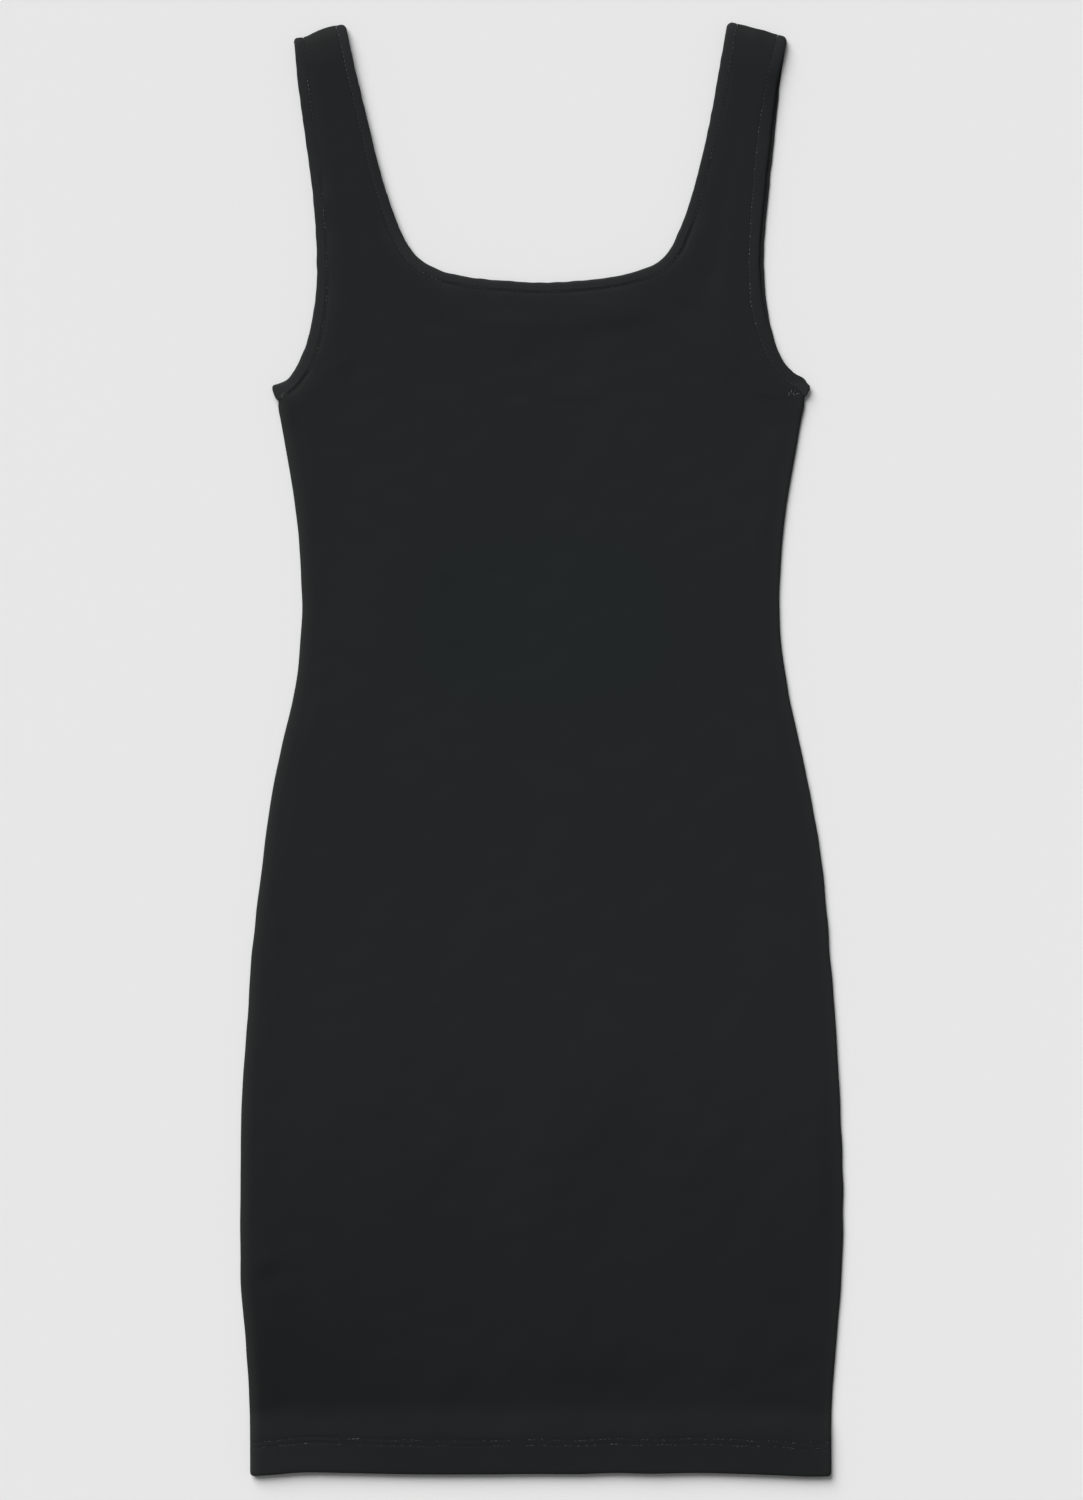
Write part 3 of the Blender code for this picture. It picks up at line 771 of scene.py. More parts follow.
class Panel:
    """The front's or the back's middle surface, as rows of points from hem to shoulders."""

    def __init__(self, layer, sizes):
        self.layer, self.outward = layer, OUTWARD[layer]
        self.lies = {each: Lie(each, sizes) for each in (FRONT, BACK)}
        self.lie = self.lies[layer]
        edges = EDGES[layer]
        self.armholes = {
            side: edges[name].panel_side(armhole_distances(edges[name]))
            for side, name in ARMHOLE.items()
        }
        self.neck = edges[NECK].panel_side(neck_distances(edges[NECK]))
        share = np.linspace(0.0, 1.0, STRAP_COLUMNS)
        self.insets = PAST_ROLL + (STRAP_SHARE - PAST_ROLL) * share**1.3

    def half_section(self, side, height):
        """Across, levels and normals from a side seam in to under the strap's neck edge."""
        seam = float(reach(side, height, self.lie.corners[side])) - CLOTH / 2
        front, back = (self.lies[each].level([side * seam], [height])[0] for each in (FRONT, BACK))
        middle, radius = (front + back) / 2, (front - back) / 2
        wide = radius
        if self.layer == FRONT:
            wide *= ROLL_STRETCH - (ROLL_STRETCH - 1.0) * fall(height, NEAR_HEM)
        angle = np.maximum(ROLL_ANGLES, np.arcsin(SEAM_GAP / 2 / radius))
        roll = seam - min(wide, ROLL_LIMIT) * (1.0 - np.cos(angle))
        normal = np.stack([np.cos(angle), 0 * angle, self.outward * np.sin(angle)], axis=1)
        normal[0] = (1.0, 0.0, 0.0)
        normal[:, 0] *= side
        flat = seam - self.insets
        z = np.append(
            middle + self.outward * radius * np.sin(angle),
            self.lie.level(side * flat, np.full(flat.shape, height)),
        )
        normal = np.vstack([normal, np.tile(FACING[self.layer], (len(flat), 1))])
        return side * np.append(roll, flat), z, normal

    def section(self, height):
        """Points and normals from the right side seam to the left one at one height."""
        (xr, zr, nr), (xl, zl, nl) = (self.half_section(side, height) for side in SIDES)
        between = np.linspace(xr[-1], xl[-1], NECK_COLUMNS + 1)[1:-1]
        x = np.concatenate([xr, between, xl[::-1]])
        zm = self.lie.level(between, np.full(between.shape, height))
        z = np.concatenate([zr, zm, zl[::-1]])
        up = np.tile(FACING[self.layer], (len(between), 1))
        points = np.stack([x, np.full(x.shape, float(height)), z], axis=1)
        return points, np.vstack([nr, up, nl[::-1]])

    def low_section(self, height):
        """A section near the hem, which takes up what is left of the hem's wave."""
        points, normals = self.section(height)
        points[:, 1] += (1.0 - height / HEM_WAVE_REACH) * hem_height(points[:, 0], np.inf)
        return points, normals

    def hem_rows(self):
        """The turned-up allowance, the hem fold and the sections just over it."""
        turn = LAYER_STEP / 2
        fold, normals = self.section(0.0)
        half = np.where(fold[:, 0] < 0, *self.lie.reaches(0.0))
        fold[:, 1] = hem_height(fold[:, 0], half) + turn + CLOTH / 2
        down = np.array([0.0, -1.0, 0.0])
        rows = []
        for height in reversed(ALLOWANCE_ROWS):
            points, facing = self.low_section(height)
            rows.append(points - LAYER_STEP * facing)
        for angle in reversed(HEM_FOLD_ANGLES):
            turned = math.cos(angle) * normals + math.sin(angle) * down
            rows.append(fold - turn * normals + turn * turned)
        rows.append(fold)
        stitched = np.arange(self.lie.stitch_rows[0] - 3.0, self.lie.stitch_rows[1] + 3.5, 0.8)
        heights = [*np.arange(3.0, stitched[0] - 1.0, 2.5), *stitched]
        heights += list(np.arange(stitched[-1] + 2.0, HEM_WAVE_REACH, 2.6))
        return rows + [self.low_section(height)[0] for height in heights]

    def yoke_rows(self, underarm):
        """Rows from the underarm section up to the neckline and the straps' roots."""
        right, left = self.armholes[RIGHT], self.armholes[LEFT]
        neck = self.neck[STRAP_ROWS : STRAP_ROWS + NECK_COLUMNS + 1]
        share = self.strap_shares()
        over_right = right[YOKE_ROWS] + (neck[0] - right[YOKE_ROWS]) * share
        over_left = neck[-1] + (left[YOKE_ROWS] - neck[-1]) * (1.0 - share[::-1])
        top = np.vstack([over_right, neck[1:-1], over_left])
        bottom = underarm[:, :2]
        across = ((bottom[:, 0] - bottom[0, 0]) / (bottom[-1, 0] - bottom[0, 0]))[:, None]
        rows = []
        for i, up in enumerate(YOKE_SHARES[1:], 1):
            chord = (1 - up) * bottom + up * top
            pull = (1 - across) * (right[i] - chord[0]) + across * (left[i] - chord[-1])
            rows.append(self.laid(chord + pull))
        return rows

    def strap_shares(self):
        """Shares of a strap's width, closer together at its two bound edges."""
        t = np.linspace(0.0, 1.0, len(ROLL_ANGLES) + STRAP_COLUMNS)[:, None]
        return 0.3 * t + 0.7 * eased(t)

    def laid(self, place):
        """Flat points lifted to this layer's level."""
        return np.column_stack([place, self.lie.level(place[:, 0], place[:, 1])])

    def strap_rows(self, side):
        """Rows up one strap from its root, then round its shoulder fold to the seam."""
        outer = self.armholes[side][YOKE_ROWS:]
        inner = self.neck[STRAP_ROWS::-1] if side == RIGHT else self.neck[-STRAP_ROWS - 1 :]
        if side == LEFT:
            outer, inner = inner, outer
        share = self.strap_shares()
        rows = [self.laid(a + (b - a) * share) for a, b in zip(outer, inner)]
        up, over = FACING[self.layer], over_shoulder(side)
        base = rows[-1] - FOLD_RADIUS * up
        return rows + [
            base + FOLD_RADIUS * (math.cos(angle) * up + math.sin(angle) * over)
            for angle in FOLD_ANGLES
        ]

    def build(self, name):
        underarm = self.section(self.lie.corners[RIGHT][1])[0]
        tilt = np.linspace(0.0, 1.0, len(underarm))
        underarm[:, 1] += (self.lie.corners[LEFT][1] - underarm[0, 1]) * tilt
        top = underarm[0, 1]
        heights = np.linspace(HEM_WAVE_REACH, top, int((top - HEM_WAVE_REACH) / BODY_STEP))
        body = self.hem_rows() + [self.section(height)[0] for height in heights[:-1]]
        body += [underarm, *self.yoke_rows(underarm)]
        grids = [body, self.strap_rows(RIGHT), self.strap_rows(LEFT)]
        piece = cloth_shell(name, [np.array(grid) for grid in grids], self.layer == BACK)
        self.paint_light(piece)
        return piece

    def paint_light(self, piece):
        """Marks painted light on the cloth: painted sheen at the sides, painted highlights over the
        shoulders and painted light beside the bands.
        """
        place = np.array([vertex.co for vertex in piece.data.vertices]) / MM
        x, height = place[:, 0], place[:, 1] - HEM_LINE
        inset = np.where(self.lie.under_arms(height), self.lie.inset(x, height), np.inf)
        to_band, to_fold, tight = self.lie.nearest(x, height)
        edge = np.where(x < 0, *EDGE_PAINTED_SHEEN_SHARE.values()) * fall(inset, EDGE_PAINTED_SHEEN)
        fold = FOLD_PAINTED_HIGHLIGHT_SHARE * fall(to_fold, FOLD_PAINTED_HIGHLIGHT) + RIM_PAINTED_HIGHLIGHT_SHARE * fall(to_fold, RIM_PAINTED_HIGHLIGHT)
        fold *= np.where(x < 0, 1.0, LEFT_FOLD_PAINTED_HIGHLIGHT)
        beside = BESIDE_BAND_PAINTED_LIGHT_SHARE * np.minimum(tight, 1.0) ** 2 * fall(to_band, BESIDE_BAND_PAINTED_LIGHT)
        mark(piece, PAINTED_LIGHT, np.maximum.reduce([edge, fold, beside]))


# Meshes


def mesh_piece(name, vertices, faces):
    """A new selected object; vertices are in millimetres with heights along Y."""
    bpy.ops.object.select_all(action="DESELECT")
    place = drawn_out(np.array(vertices, float))
    place[:, 1] += HEM_LINE
    mesh = bpy.data.meshes.new(name)
    mesh.from_pydata((place * MM).tolist(), [], faces)
    piece = bpy.data.objects.new(name, mesh)
    bpy.context.scene.collection.objects.link(piece)
    bpy.context.view_layer.objects.active = piece
    piece.select_set(True)
    return piece


def in_edit_mode(operator, **settings):
    """Runs an operator on all of the active mesh."""
    bpy.ops.object.mode_set(mode="EDIT")
    bpy.ops.mesh.select_all(action="SELECT")
    operator(**settings)
    bpy.ops.object.mode_set(mode="OBJECT")


def mark(piece, name, values):
    """Gives a mesh's vertices a named value for its finish to read."""
    attribute = piece.data.attributes.new(name, "FLOAT", "POINT")
    attribute.data.foreach_set("value", values.astype(np.float32))


def grid_faces(rows, columns, first, flipped):
    """Quads between neighbouring rows of a grid whose first vertex is given."""
    a = first + np.arange(rows - 1)[:, None] * columns + np.arange(columns - 1)[None, :]
    quads = np.stack([a, a + 1, a + 1 + columns, a + columns], axis=-1).reshape(-1, 4)
    return quads[:, ::-1] if flipped else quads


def cloth_shell(name, grids, flipped):
    """One layer of cloth through grids of points, joined where they share a row."""
    vertices, faces, first = [], [], 0
    for grid in grids:
        rows, columns = grid.shape[:2]
        vertices.append(grid.reshape(-1, 3))
        faces.append(grid_faces(rows, columns, first, flipped))
        first += rows * columns
    piece = mesh_piece(name, np.vstack(vertices), np.vstack(faces).tolist())
    in_edit_mode(bpy.ops.mesh.remove_doubles, threshold=0.01 * MM)
    wall = piece.modifiers.new("Wall", "SOLIDIFY")
    wall.thickness, wall.offset = CLOTH * MM, 0.0
    bpy.ops.object.modifier_apply(modifier=wall.name)
    bpy.ops.object.shade_smooth_by_angle(angle=math.radians(50))
    return piece


# Bands


def band_surface(share, tight, pucker):
    """Height of a band's outer surface over its middle, at shares of its width."""
    plain, pulled = BAND_ROUNDING
    rounding = plain + pulled * np.minimum(tight, 1.0)  # an edge that isn't pulled in stays crisp
    edge = np.sqrt(1.0 - np.clip(1.0 - share / rounding, 0.0, 1.0) ** 2)
    slope = (BAND_CREST - CLOTH / 2) * (1.0 - fall(share, (0.3, 1.0)))
    ridge = BAND_RIDGE * tight * fall(np.abs(share - RIDGE_SHARE), (0.0, RIDGE_HALF))
    ditch = 1.0 - fall(share, DITCH_SHARES)
    return BAND_CREST * edge - slope + ridge - ditch * (BAND_DITCH * tight + pucker)


def band_level(layer, to_fold):
    """Height of a band's middle over the floor, at distances to the nearest shoulder fold."""
    return BAND_LEVEL[layer] + (fold_bulge(to_fold) if layer == FRONT else 0.0 * to_fold)


def band_ring(base, across, facing, width, tight, pucker):
    """One section of a band: out over its puffy face, then back along its inner face."""
    shares, (inner, low) = np.array(BAND_SHARES), np.array(INNER_FACE).T
    wide = width * np.concatenate([shares, inner])
    high = np.concatenate([band_surface(shares, tight, pucker), low])
    return base + wide[:, None] * np.array([*across, 0.0]) + high[:, None] * facing


def laid_rings(edge, layer, sizes):
    """Sections of a band lying on one layer."""
    stitch = sizes.stitch_length / MM
    count = max(8, int(round(edge.length / stitch * SECTIONS_A_STITCH)))
    distances = np.linspace(0.0, edge.length, count + 1)
    points, across, width, tight, to_fold = edge.at(distances)
    pucker = BAND_PUCKER * np.cos(2 * np.pi * distances / stitch)
    bases = np.column_stack([points, band_level(layer, to_fold)])
    sections = zip(bases, across, width, tight, pucker)
    rings = np.array([band_ring(a, b, FACING[layer], *others) for a, b, *others in sections])
    if layer == BACK:
        rings[..., 2] = np.maximum(rings[..., 2], BAND_LOW)
    return rings


def folded_rings(edge, end, side):
    """Sections round a shoulder fold, from the front over to the back."""
    across, width, tight = edge.across[end], edge.width[end], edge.tight[end]
    middle, over = np.array([*edge.points[end], FOLD_LEVEL]), over_shoulder(side)
    rings = []
    for angle in np.radians(np.arange(15.0, 166.0, 15.0)):
        facing = math.cos(angle) * FACING[FRONT] + math.sin(angle) * over
        rings.append(band_ring(middle + FOLD_RADIUS * facing, across, facing, width, tight, 0.0))
    return rings


def rounded_end(ring, side):
    """Smaller and smaller sections that round off a band's end, shorter low down."""
    middle = ring.mean(axis=0)
    drop = (ring[:, 1].max() - ring[:, 1]) / np.ptp(ring[:, 1])
    out, up, taper = END_REACH[side]
    push = (1.0 - taper * drop)[:, None] * np.array([side * out, up, 0.0])
    return [
        middle + (ring - middle) * math.cos(angle) ** 0.6 + push * math.sin(angle)
        for angle in np.radians((20.0, 40.0, 60.0, 76.0, 86.0))
    ]


def band_piece(name, rings, closed, columns):
    """A band through its sections, closed to a loop or with two closed ends."""
    rings = np.array(rings)
    count, corners = rings.shape[:2]
    centres = rings.mean(axis=1)
    along = travel(np.vstack([centres, centres[:1]])) * MM
    around = travel(np.vstack([rings[0], rings[0][:1]])) * MM
    faces, places = [], []
    for i in range(count if closed else count - 1):
        for j in range(corners):
            spans = ((i, j), (i, j + 1), (i + 1, j + 1), (i + 1, j))
            faces.append(tuple((a % count) * corners + b % corners for a, b in spans))
            places += [(around[b], along[a]) for a, b in spans]
    if not closed:
        for end in (list(range(corners))[::-1], [(count - 1) * corners + j for j in range(corners)]):
            faces.append(tuple(end))
            places += [(around[j % corners], along[j // corners]) for j in end]
    points = rings.reshape(-1, 3)
    piece = mesh_piece(name, points, faces)
    layer = piece.data.uv_layers.new(name=BAND_MAP)
    layer.data.foreach_set("uv", np.array(places, np.float32).ravel())
    # Painted light for the band's finish: the band light table, with more on the back's layer
    under = points[:, 2] < FOLD_LEVEL
    mark(piece, PAINTED_LIGHT, by_height(BAND_LIGHT, points, columns) + UNDER_LIGHT * under)
    in_edit_mode(bpy.ops.mesh.normals_make_consistent, inside=False)
    bpy.ops.object.shade_smooth_by_angle(angle=math.radians(55))
    return piece


def neck_band(sizes):
    front, back = EDGES[FRONT][NECK], EDGES[BACK][NECK]
    rings = [
        *laid_rings(front, FRONT, sizes),
        *folded_rings(front, -1, LEFT),
        *laid_rings(back, BACK, sizes)[::-1],
        *folded_rings(front, 0, RIGHT)[::-1],
    ]
    return band_piece("neck_edge_band", rings, True, NECK_HALVES)


def armhole_band(side, sizes):
    key = ARMHOLE[side]
    front, back = EDGES[FRONT][key], EDGES[BACK][key]
    on_front, on_back = laid_rings(front, FRONT, sizes), laid_rings(back, BACK, sizes)
    rings = [
        *rounded_end(on_front[0], side)[::-1],
        *on_front,
        *folded_rings(front, -1, side),
        *on_back[::-1],
        *rounded_end(on_back[0], side),
    ]
    return band_piece(f"{key}_band", rings, False, ARMHOLE_HALVES)


# Stitches


def stitch_shape():
    """One stitch as a rounded grain of thread, 1 long, 1 wide and 1 high."""
    bpy.ops.object.select_all(action="DESELECT")
    bpy.ops.mesh.primitive_uv_sphere_add(segments=8, ring_count=6, radius=0.5, location=(0, 0, 0))
    grain = bpy.context.object
    in_edit_mode(
        bpy.ops.transform.rotate, value=math.radians(90), orient_axis="Y",
        center_override=(0.0, 0.0, 0.0),
    )
    vertices = np.array([v.co for v in grain.data.vertices])
    faces = [tuple(face.vertices) for face in grain.data.polygons]
    bpy.data.objects.remove(grain)
    return vertices, faces


def sewn_row(places, along, up, length, width, seed, sunk=0.0, bright=0.0):
    """Each stitch's place, directions and sizes, made uneven as hand-guided sewing is."""
    rng = np.random.default_rng(seed)
    count = len(places)
    turn = np.radians(rng.normal(0.0, STITCH_TURN, count))
    skewed = rng.random(count) < SKEWED_SHARE
    turn += np.radians(SKEWED_TURN) * skewed * rng.choice((-1, 1), count)
    up = np.broadcast_to(up, (count, 3))
    across = np.cross(up, along)
    leaning = along * np.cos(turn)[:, None] + across * np.sin(turn)[:, None]
    depth = np.abs(rng.normal(0.0, STITCH_DEPTH, count)) + sunk * (rng.random(count) < SUNK_SHARE)
    shift = rng.normal(0.0, STITCH_SHIFT, count)
    places = places - up * depth[:, None] + across * shift[:, None]
    lengths = length * rng.uniform(*STITCH_LENGTHS, count)
    # Painted glints: stitches in bright stretches, and a few others at random, get a lighter shade
    # in colour only
    patch = np.clip(waves(np.arange(count), seed + 5, 8.0, 70.0), 0.0, 1.0)
    shown = bright * (rng.random(count) < LIT_STITCHES)
    shade = shown + DULL_SHINE * (1.0 - shown) * patch * rng.random(count) ** 3
    widths = width * rng.uniform(*STITCH_WIDTHS, count)
    return places, leaning, up, lengths, widths, shade


def stitches_piece(name, rows):
    """All the stitches of some rows, as one mesh with a shade for each stitch."""
    places, along, up, lengths, widths, shades = (np.concatenate(part) for part in zip(*rows))
    grain, faces = stitch_shape()
    sized = (along * lengths[:, None], np.cross(up, along) * widths[:, None], up * widths[:, None])
    vertices = places[:, None, :]
    for shape, part in zip(grain.T, sized):
        vertices = vertices + shape[None, :, None] * part[:, None, :]
    count = len(grain)
    copies = [tuple(i + k * count for i in face) for k in range(len(places)) for face in faces]
    piece = mesh_piece(name, vertices.reshape(-1, 3), copies)
    mark(piece, THREAD_SHADE, np.repeat(shades, count))
    bpy.ops.object.shade_smooth()
    return piece


def edge_stitches(edge, layer, sizes, seed, columns):
    """Topstitching along one edge, in the ditch beside its band's crest."""
    pitch = sizes.stitch_length / MM
    distances = np.arange(pitch, edge.length - 0.4 * pitch, pitch)
    points, across, width, tight, to_fold = edge.at(distances)
    ahead = edge.at(distances + 0.5)[0] - edge.at(distances - 0.5)[0]
    ahead = np.column_stack([ahead, np.zeros(len(ahead))])
    ahead /= np.linalg.norm(ahead, axis=1)[:, None]
    high = band_surface(np.full(len(distances), STITCH_SHARE), tight, 0.0)
    z = band_level(layer, to_fold) + OUTWARD[layer] * high
    places = np.column_stack([points + (STITCH_SHARE * width)[:, None] * across, z])
    # Painted glint along this edge's stitches
    shine = by_height(STITCH_SHINE, points, columns)
    length, thread = EDGE_STITCH * pitch, sizes.thread_width / MM
    return sewn_row(places, ahead, FACING[layer], length, thread, seed, bright=shine)


def hem_stitches(layer, sizes, seed):
    """Two rows of stitches across one layer of the hem."""
    lie = Lie(layer, sizes)
    pitch = sizes.stitch_length / MM
    rows = []
    for index, height in enumerate(lie.stitch_rows):
        right, left = (float(half) - HEM_ROW_INSET for half in lie.reaches(height))
        x = np.arange(-right, left, pitch) + 0.4 * pitch * index
        y = height + hem_height(x, np.inf) + HEM_ROW_WAVER * waves(x, seed + index, 12.0, 60.0)
        z = lie.level(x, y) + OUTWARD[layer] * (CLOTH / 2 - HEM_STITCH_SINK)
        ahead = np.tile((1.0, 0.0, 0.0), (len(x), 1))
        places, width = np.column_stack([x, y, z]), sizes.thread_width / MM
        row_seed = seed + 10 + index
        rows.append(sewn_row(places, ahead, FACING[layer], pitch, width, row_seed, sunk=HEM_SUNK))
    return rows


def tack_stitches(sizes):
    """Short ends of thread that hold the bands' ends down at the underarms."""
    x, height, turn = np.array(TACKS).T
    turn = np.radians(turn)
    z = Lie(FRONT, sizes).level(x, height) + CLOTH / 2 + TACK_LIFT
    along = np.column_stack([np.cos(turn), np.sin(turn), 0.0 * turn])
    places, width = np.column_stack([x, height, z]), sizes.thread_width / MM
    return sewn_row(places, along, FACING[FRONT], TACK_LENGTH, width, TACK_SEED, bright=TACK_SHINE)


# Materials


class Number:
    """A shader socket that holds a number; arithmetic on it adds Math nodes."""

    def __init__(self, nodes, socket):
        self.nodes, self.socket = nodes, socket

    def math(self, operation, *values):
        made = self.nodes.node("ShaderNodeMath", {"operation": operation}, dict(enumerate(values)))
        return Number(self.nodes, made.outputs[0])

    def __add__(self, other):
        return self.math("ADD", self, other)

    def __sub__(self, other):
        return self.math("SUBTRACT", self, other)

    def __rsub__(self, other):
        return self.math("SUBTRACT", other, self)

    def __mul__(self, other):
        return self.math("MULTIPLY", self, other)

    def __truediv__(self, other):
        return self.math("DIVIDE", self, other)

    def __pow__(self, other):
        return self.math("POWER", self, other)

    __radd__, __rmul__ = __add__, __mul__

    def kept(self):
        """The number kept between 0 and 1."""
        return self.math("MINIMUM", self.math("MAXIMUM", self, 0.0), 1.0)


class Nodes:
    """A node tree, built up a node at a time."""

    def __init__(self, tree):
        self.tree = tree

    def node(self, kind, settings, inputs):
        """A node of a kind: its settings are set first, then its sockets' values or links."""
        made = self.tree.nodes.new(kind)
        for setting, value in settings.items():
            setattr(made, setting, value)
        for key, value in inputs.items():
            self.feed(made.inputs[key], value)
        return made

    def feed(self, socket, value):
        value = value.socket if isinstance(value, Number) else value
        if isinstance(value, bpy.types.NodeSocket):
            self.tree.links.new(value, socket)
        else:
            socket.default_value = value


class Finish(Nodes):
    """One material."""

    PREFIX = "dress_"  # keeps its name apart from those of the solid pieces' own materials

    def __init__(self, name):
        self.material = bpy.data.materials.new(self.PREFIX + name)
        self.material.use_nodes = True
        super().__init__(self.material.node_tree)

    def surface(self, **values):
        """Values or links for the surface's own sockets, named with _ for spaces."""
        shader = self.tree.nodes["Principled BSDF"]
        for name, value in values.items():
            self.feed(shader.inputs[name.replace("_", " ")], value)

    def number(self, made, output=0):
        return Number(self, made.outputs[output])

    def place(self):
        """Places on the piece, as its object's coordinates."""
        return self.node("ShaderNodeTexCoord", {}, {}).outputs["Object"]

    def marked(self, name):
        """The value that the mesh's vertices carry under a name."""
        settings = {"attribute_type": "GEOMETRY", "attribute_name": name}
        return self.number(self.node("ShaderNodeAttribute", settings, {}), 2)

    def noise(self, place, size, detail=2.0, stretch=(1.0, 1.0, 1.0)):
        """Uneven values from 0 to 1, with lumps of a size in metres."""
        inputs = {"Vector": place, "Scale": tuple(share / size for share in stretch)}
        spread = self.node("ShaderNodeMapping", {}, inputs).outputs[0]
        inputs = {"Vector": spread, "Scale": 1.0, "Detail": detail}
        return self.number(self.node("ShaderNodeTexNoise", {}, inputs))

    def blend(self, share, first, second):
        """A colour from first to second by a share."""
        inputs = {0: share, 6: first, 7: second}
        return self.node("ShaderNodeMix", {"data_type": "RGBA"}, inputs).outputs[2]

    def bump(self, height, strength, distance):
        inputs = {"Height": height, "Strength": strength, "Distance": distance}
        return self.node("ShaderNodeBump", {}, inputs).outputs[0]


def tinted(colour, factor, tint=(1.0, 1.0, 1.0)):
    return (*(c * factor * t for c, t in zip(colour, tint)), 1.0)


def knit(finish, place):
    """The fine ribs of the jersey's face, with the yarn's own unevenness."""
    ribs = finish.noise(place, 0.0007, 1.0, (1.0, 0.22, 1.0))
    fuzz = finish.noise(place, 0.0016, 3.0)
    return ribs * 0.65 + fuzz * 0.35


def past(value, start, length):
    """0 down to the start, rising to 1 over a length under it."""
    return ((start - value) / length).kept()


def jersey_finish(colours):
    """Matte jersey with soft uneven patches, painted shade that darkens it towards the hem and at
    its lower right, a painted lighter strip along the hem, and painted sheen where painted light is
    marked.
    """
    finish = Finish("jersey")
    place = finish.place()
    parts = finish.node("ShaderNodeSeparateXYZ", {}, {0: place})
    across, up = finish.number(parts, 0), finish.number(parts, 1)
    patches = finish.noise(place, 0.16, 2.0) * 0.6 + finish.noise(place, 0.035, 3.0) * 0.4
    cloth = knit(finish, place)
    # Painted shade down the skirt and at its lower right, and a painted lighter strip along the hem,
    # more on the right
    skirt = past(up, -0.17, 0.24) * 0.21
    corner = past(across, -0.07, 0.08) * past(up, -0.30, 0.08) * 0.065
    hem = past(up, -0.405, 0.03) * (0.11 + past(across, -0.08, 0.06) * 0.13)
    # This share mixes that painted shade and light with random patches and the knit's own tone
    light = 0.5 - skirt - corner + hem + (patches - 0.5) * 0.15 + (cloth - 0.5) * 0.08
    # Shaded and lit copies of the jersey's colour
    dark, pale = (tinted(colours.jersey, share * MATTE, JERSEY_TINT) for share in (0.4, 1.6))
    # A lit copy for painted sheen and highlights, blended in where painted light is marked on the
    # cloth
    painted_sheen = tinted(colours.jersey, 1.9 * MATTE, PAINTED_SHEEN_TINT)
    with_painted_sheen = finish.blend(
        (finish.marked(PAINTED_LIGHT) * 0.35).kept(), finish.blend(light.kept(), dark, pale), painted_sheen
    )
    waist = (1.0 - ((up - 0.08) / 0.065) ** 2.0).kept() * (1.0 - (across / 0.1) ** 2.0).kept()
    finish.surface(
        Base_Color=finish.blend(waist * 0.5, with_painted_sheen, tinted(colours.jersey, MATTE, WAIST_TINT)),
        Roughness=0.84 + (patches - 0.5) * 0.12 + (cloth - 0.5) * 0.1,
        Normal=finish.bump(cloth, 0.22, 0.0002),
        **JERSEY_GLOSS,
    )
    return finish.material


def band_finish(colours):
    """The same jersey pulled tight round the edges, smoother, and a little lighter where painted
    light is marked on it.
    """
    finish = Finish("binding_jersey")
    patches = finish.noise(finish.place(), 0.03, 3.0)
    cloth = knit(finish, finish.node("ShaderNodeUVMap", {"uv_map": BAND_MAP}, {}).outputs[0])
    # Mostly the painted light marked on the band, with random patches and the knit's own tone
    light = 0.1 + finish.marked(PAINTED_LIGHT) * 0.78 + (patches - 0.5) * 0.25 + (cloth - 0.5) * 0.12
    # Shaded and lit copies of the band's colour
    dark = tinted(colours.band, 0.58 * MATTE, DARK_BAND_TINT)
    pale = tinted(colours.band, 1.6 * MATTE, PALE_BAND_TINT)
    finish.surface(
        Base_Color=finish.blend(light.kept(), dark, pale),
        Roughness=0.82 + (patches - 0.5) * 0.14 + (cloth - 0.5) * 0.1,
        Normal=finish.bump(cloth, 0.2, 0.0002),
        **JERSEY_GLOSS,
    )
    return finish.material


def thread_finish(colours):
    """Near-black thread; stitches marked with a painted glint are blended towards the lightest
    thread colour.
    """
    finish = Finish("thread")
    shade, twist = finish.marked(THREAD_SHADE), finish.noise(finish.place(), 0.0005, 1.0)
    light = (shade * 0.9 + (twist - 0.5) * 0.1 + 0.03).kept()
    finish.surface(
        Base_Color=finish.blend(light, tinted(colours.thread, 0.17), tinted(colours.thread, 1.0)),
        Roughness=0.58 + (twist - 0.5) * 0.2,
        Specular_IOR_Level=0.35,
        Normal=finish.bump(twist, 0.3, 0.0001),
    )
    return finish.material


def floor_finish(colours):
    finish = Finish("floor")
    dark, pale = (tinted(colours.floor, share) for share in (0.997, 1.003))
    finish.surface(
        Base_Color=finish.blend(finish.noise(finish.place(), 0.5, 2.0), dark, pale),
        Roughness=0.9,
        Specular_IOR_Level=0.1,
    )
    return finish.material


FINISHES = {
    "jersey": jersey_finish,
    "binding_jersey": band_finish,
    "thread": thread_finish,
    "floor": floor_finish,
}


def finish_for(name, colours):
    """A shared material, made the first time that it is asked for."""
    return bpy.data.materials.get(Finish.PREFIX + name) or FINISHES[name](colours)


def settle(piece, name, colours, *nodes):
    """Gives a piece its finish, its body and the solids it stands for."""
    piece.data.materials.append(finish_for(name, colours))
    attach(piece, "root")
    if nodes:
        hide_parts(*nodes)


# Operators


class DRESS_OT_bands(bpy.types.Operator):
    """Bind the neck and the two armholes"""

    bl_idname = "dress.bands"
    bl_label = "Edge bands"

    def execute(self, context):
        sizes, colours = context.scene.dress_sizes, context.scene.dress_colours
        settle(neck_band(sizes), "binding_jersey", colours, "neck_binding")
        for side, key in ARMHOLE.items():
            settle(armhole_band(side, sizes), "binding_jersey", colours, f"{key}_binding")
        return {"FINISHED"}


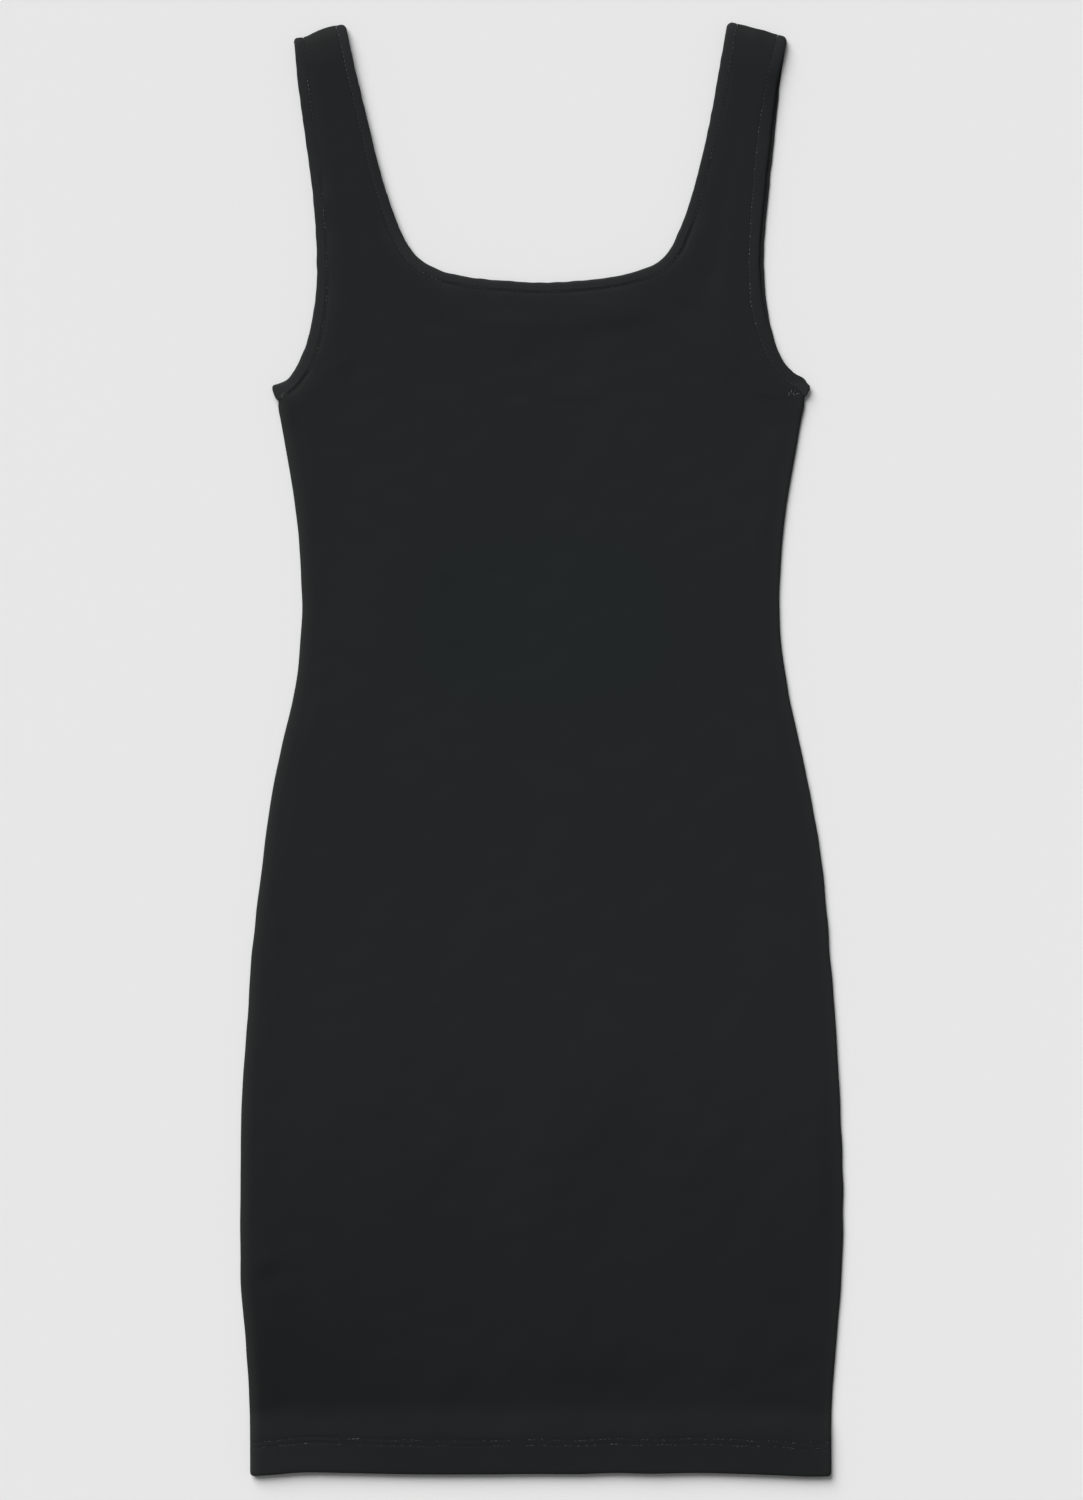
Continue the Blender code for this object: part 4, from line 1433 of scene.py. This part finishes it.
class DRESS_OT_topstitching(bpy.types.Operator):
    """Sew the rows of stitches along the bands, and the underarm tacks"""

    bl_idname = "dress.topstitching"
    bl_label = "Topstitching"

    def execute(self, context):
        sizes, colours = context.scene.dress_sizes, context.scene.dress_colours
        for index, key in enumerate(EDGES[FRONT]):
            halves = NECK_HALVES if key == NECK else ARMHOLE_HALVES
            rows = [
                edge_stitches(EDGES[layer][key], layer, sizes, seed, halves)
                for seed, layer in enumerate((FRONT, BACK), TOPSTITCHING_SEED + 2 * index)
            ]
            settle(stitches_piece(f"{key}_topstitching", rows), "thread", colours)
        settle(stitches_piece("underarm_tacks", [tack_stitches(sizes)]), "thread", colours)
        return {"FINISHED"}


class DRESS_OT_hem_stitching(bpy.types.Operator):
    """Sew two rows of stitches across the front's and the back's hem"""

    bl_idname = "dress.hem_stitching"
    bl_label = "Hem stitching"

    def execute(self, context):
        sizes, colours = context.scene.dress_sizes, context.scene.dress_colours
        for layer, seed in HEM_SEEDS.items():
            rows = hem_stitches(layer, sizes, seed)
            settle(stitches_piece(f"{layer}_hem_stitching", rows), "thread", colours)
        return {"FINISHED"}


class DRESS_OT_cloth(bpy.types.Operator):
    """Make the front and the back"""

    bl_idname = "dress.cloth"
    bl_label = "Front and back"

    def execute(self, context):
        sizes, colours = context.scene.dress_sizes, context.scene.dress_colours
        for layer, under in ((BACK, ()), (FRONT, ("back_cloth",))):
            piece = Panel(layer, sizes).build(f"{layer}_cloth")
            settle(piece, "jersey", colours, f"{layer}_panel")
        return {"FINISHED"}


class DRESS_OT_stage(bpy.types.Operator):
    """Add a pale floor, soft light and a camera straight above"""

    bl_idname = "dress.stage"
    bl_label = "Floor, light and camera"

    def execute(self, context):
        stage, colours = context.scene.dress_stage, context.scene.dress_colours
        add_floor(colours)
        add_light(stage)
        add_camera(stage)
        context.scene.view_settings.view_transform = "Standard"
        return {"FINISHED"}


FLOOR_DROP = 0.0001  # the floor lies this far under the dress, in metres
SUN_TURN = (math.radians(-44), math.radians(-35), 0.0)
HORIZON, HORIZON_STRENGTH = (0.06, 0.2), 0.85  # rises in which the brighter horizon fades
CAMERA_SHIFT = 0.00013


def add_floor(colours):
    bpy.ops.object.select_all(action="DESELECT")
    bpy.ops.mesh.primitive_grid_add(x_subdivisions=4, y_subdivisions=4, size=24.0)
    floor = bpy.context.object
    floor.name = "floor"
    floor.data.transform(floor.matrix_world)
    for vertex in floor.data.vertices:
        vertex.co.z -= FLOOR_DROP
    floor.data.materials.append(finish_for("floor", colours))


def add_light(stage):
    """A wide soft light from beyond the right shoulder, and a dimmer one from all round."""
    bpy.ops.object.light_add(type="SUN", rotation=SUN_TURN)
    sun = bpy.context.object
    sun.name = "main_light"
    sun.data.energy = stage.sun_strength
    sun.data.angle = stage.sun_spread
    world = bpy.data.worlds.new("studio")
    world.use_nodes = True
    sky = Nodes(world.node_tree)
    place = sky.node("ShaderNodeTexCoord", {}, {}).outputs["Generated"]
    inputs = {
        "Value": sky.node("ShaderNodeSeparateXYZ", {}, {0: place}).outputs["Z"],
        "From Min": HORIZON[0],
        "From Max": HORIZON[1],
        "To Min": HORIZON_STRENGTH,
        "To Max": stage.fill_strength,
    }
    horizon = sky.node("ShaderNodeMapRange", {"interpolation_type": "SMOOTHSTEP"}, inputs)
    background = world.node_tree.nodes["Background"].inputs
    background["Color"].default_value = (1.0, 1.0, 1.0, 1.0)
    sky.feed(background["Strength"], horizon.outputs[0])
    bpy.context.scene.world = world


def add_camera(stage):
    place = (0.0, CAMERA_SHIFT, stage.camera_height)
    bpy.ops.object.camera_add(location=place, rotation=(0.0, 0.0, 0.0))
    camera = bpy.context.object
    camera.name = "camera"
    over_dress = stage.camera_height - FRONT_HIGH * MM
    camera.data.lens = camera.data.sensor_width * over_dress / stage.view_length
    bpy.context.scene.camera = camera


class DRESS_PT_panel(bpy.types.Panel):
    """The dress's pieces, sizes and colours"""

    bl_label = "Bodycon Dress"
    bl_idname = "DRESS_PT_panel"
    bl_space_type = "VIEW_3D"
    bl_region_type = "UI"
    bl_category = "Dress"

    def draw(self, context):
        scene = context.scene
        for group in (scene.dress_sizes, scene.dress_colours, scene.dress_stage):
            box = self.layout.box()
            for name in group.bl_rna.properties.keys():
                if name not in ("rna_type", "name"):
                    box.prop(group, name)
        for operator in STEPS:
            self.layout.operator(operator.bl_idname)


STEPS = (
    DRESS_OT_bands,
    DRESS_OT_topstitching,
    DRESS_OT_hem_stitching,
    DRESS_OT_cloth,
    DRESS_OT_stage,
)
GROUPS = {
    "dress_sizes": DressSizes,
    "dress_colours": DressColours,
    "dress_stage": StageSettings,
}


def register():
    for kind in (*GROUPS.values(), *STEPS, DRESS_PT_panel):
        bpy.utils.register_class(kind)
    for name, kind in GROUPS.items():
        setattr(bpy.types.Scene, name, bpy.props.PointerProperty(type=kind))


def unregister():
    for name in GROUPS:
        delattr(bpy.types.Scene, name)
    for kind in reversed((*GROUPS.values(), *STEPS, DRESS_PT_panel)):
        bpy.utils.unregister_class(kind)


def main():
    register()
    bpy.ops.dress.bands()
    bpy.ops.dress.topstitching()
    bpy.ops.dress.hem_stitching()
    bpy.ops.dress.cloth()
    bpy.ops.dress.stage()


if __name__ == "__main__":
    main()
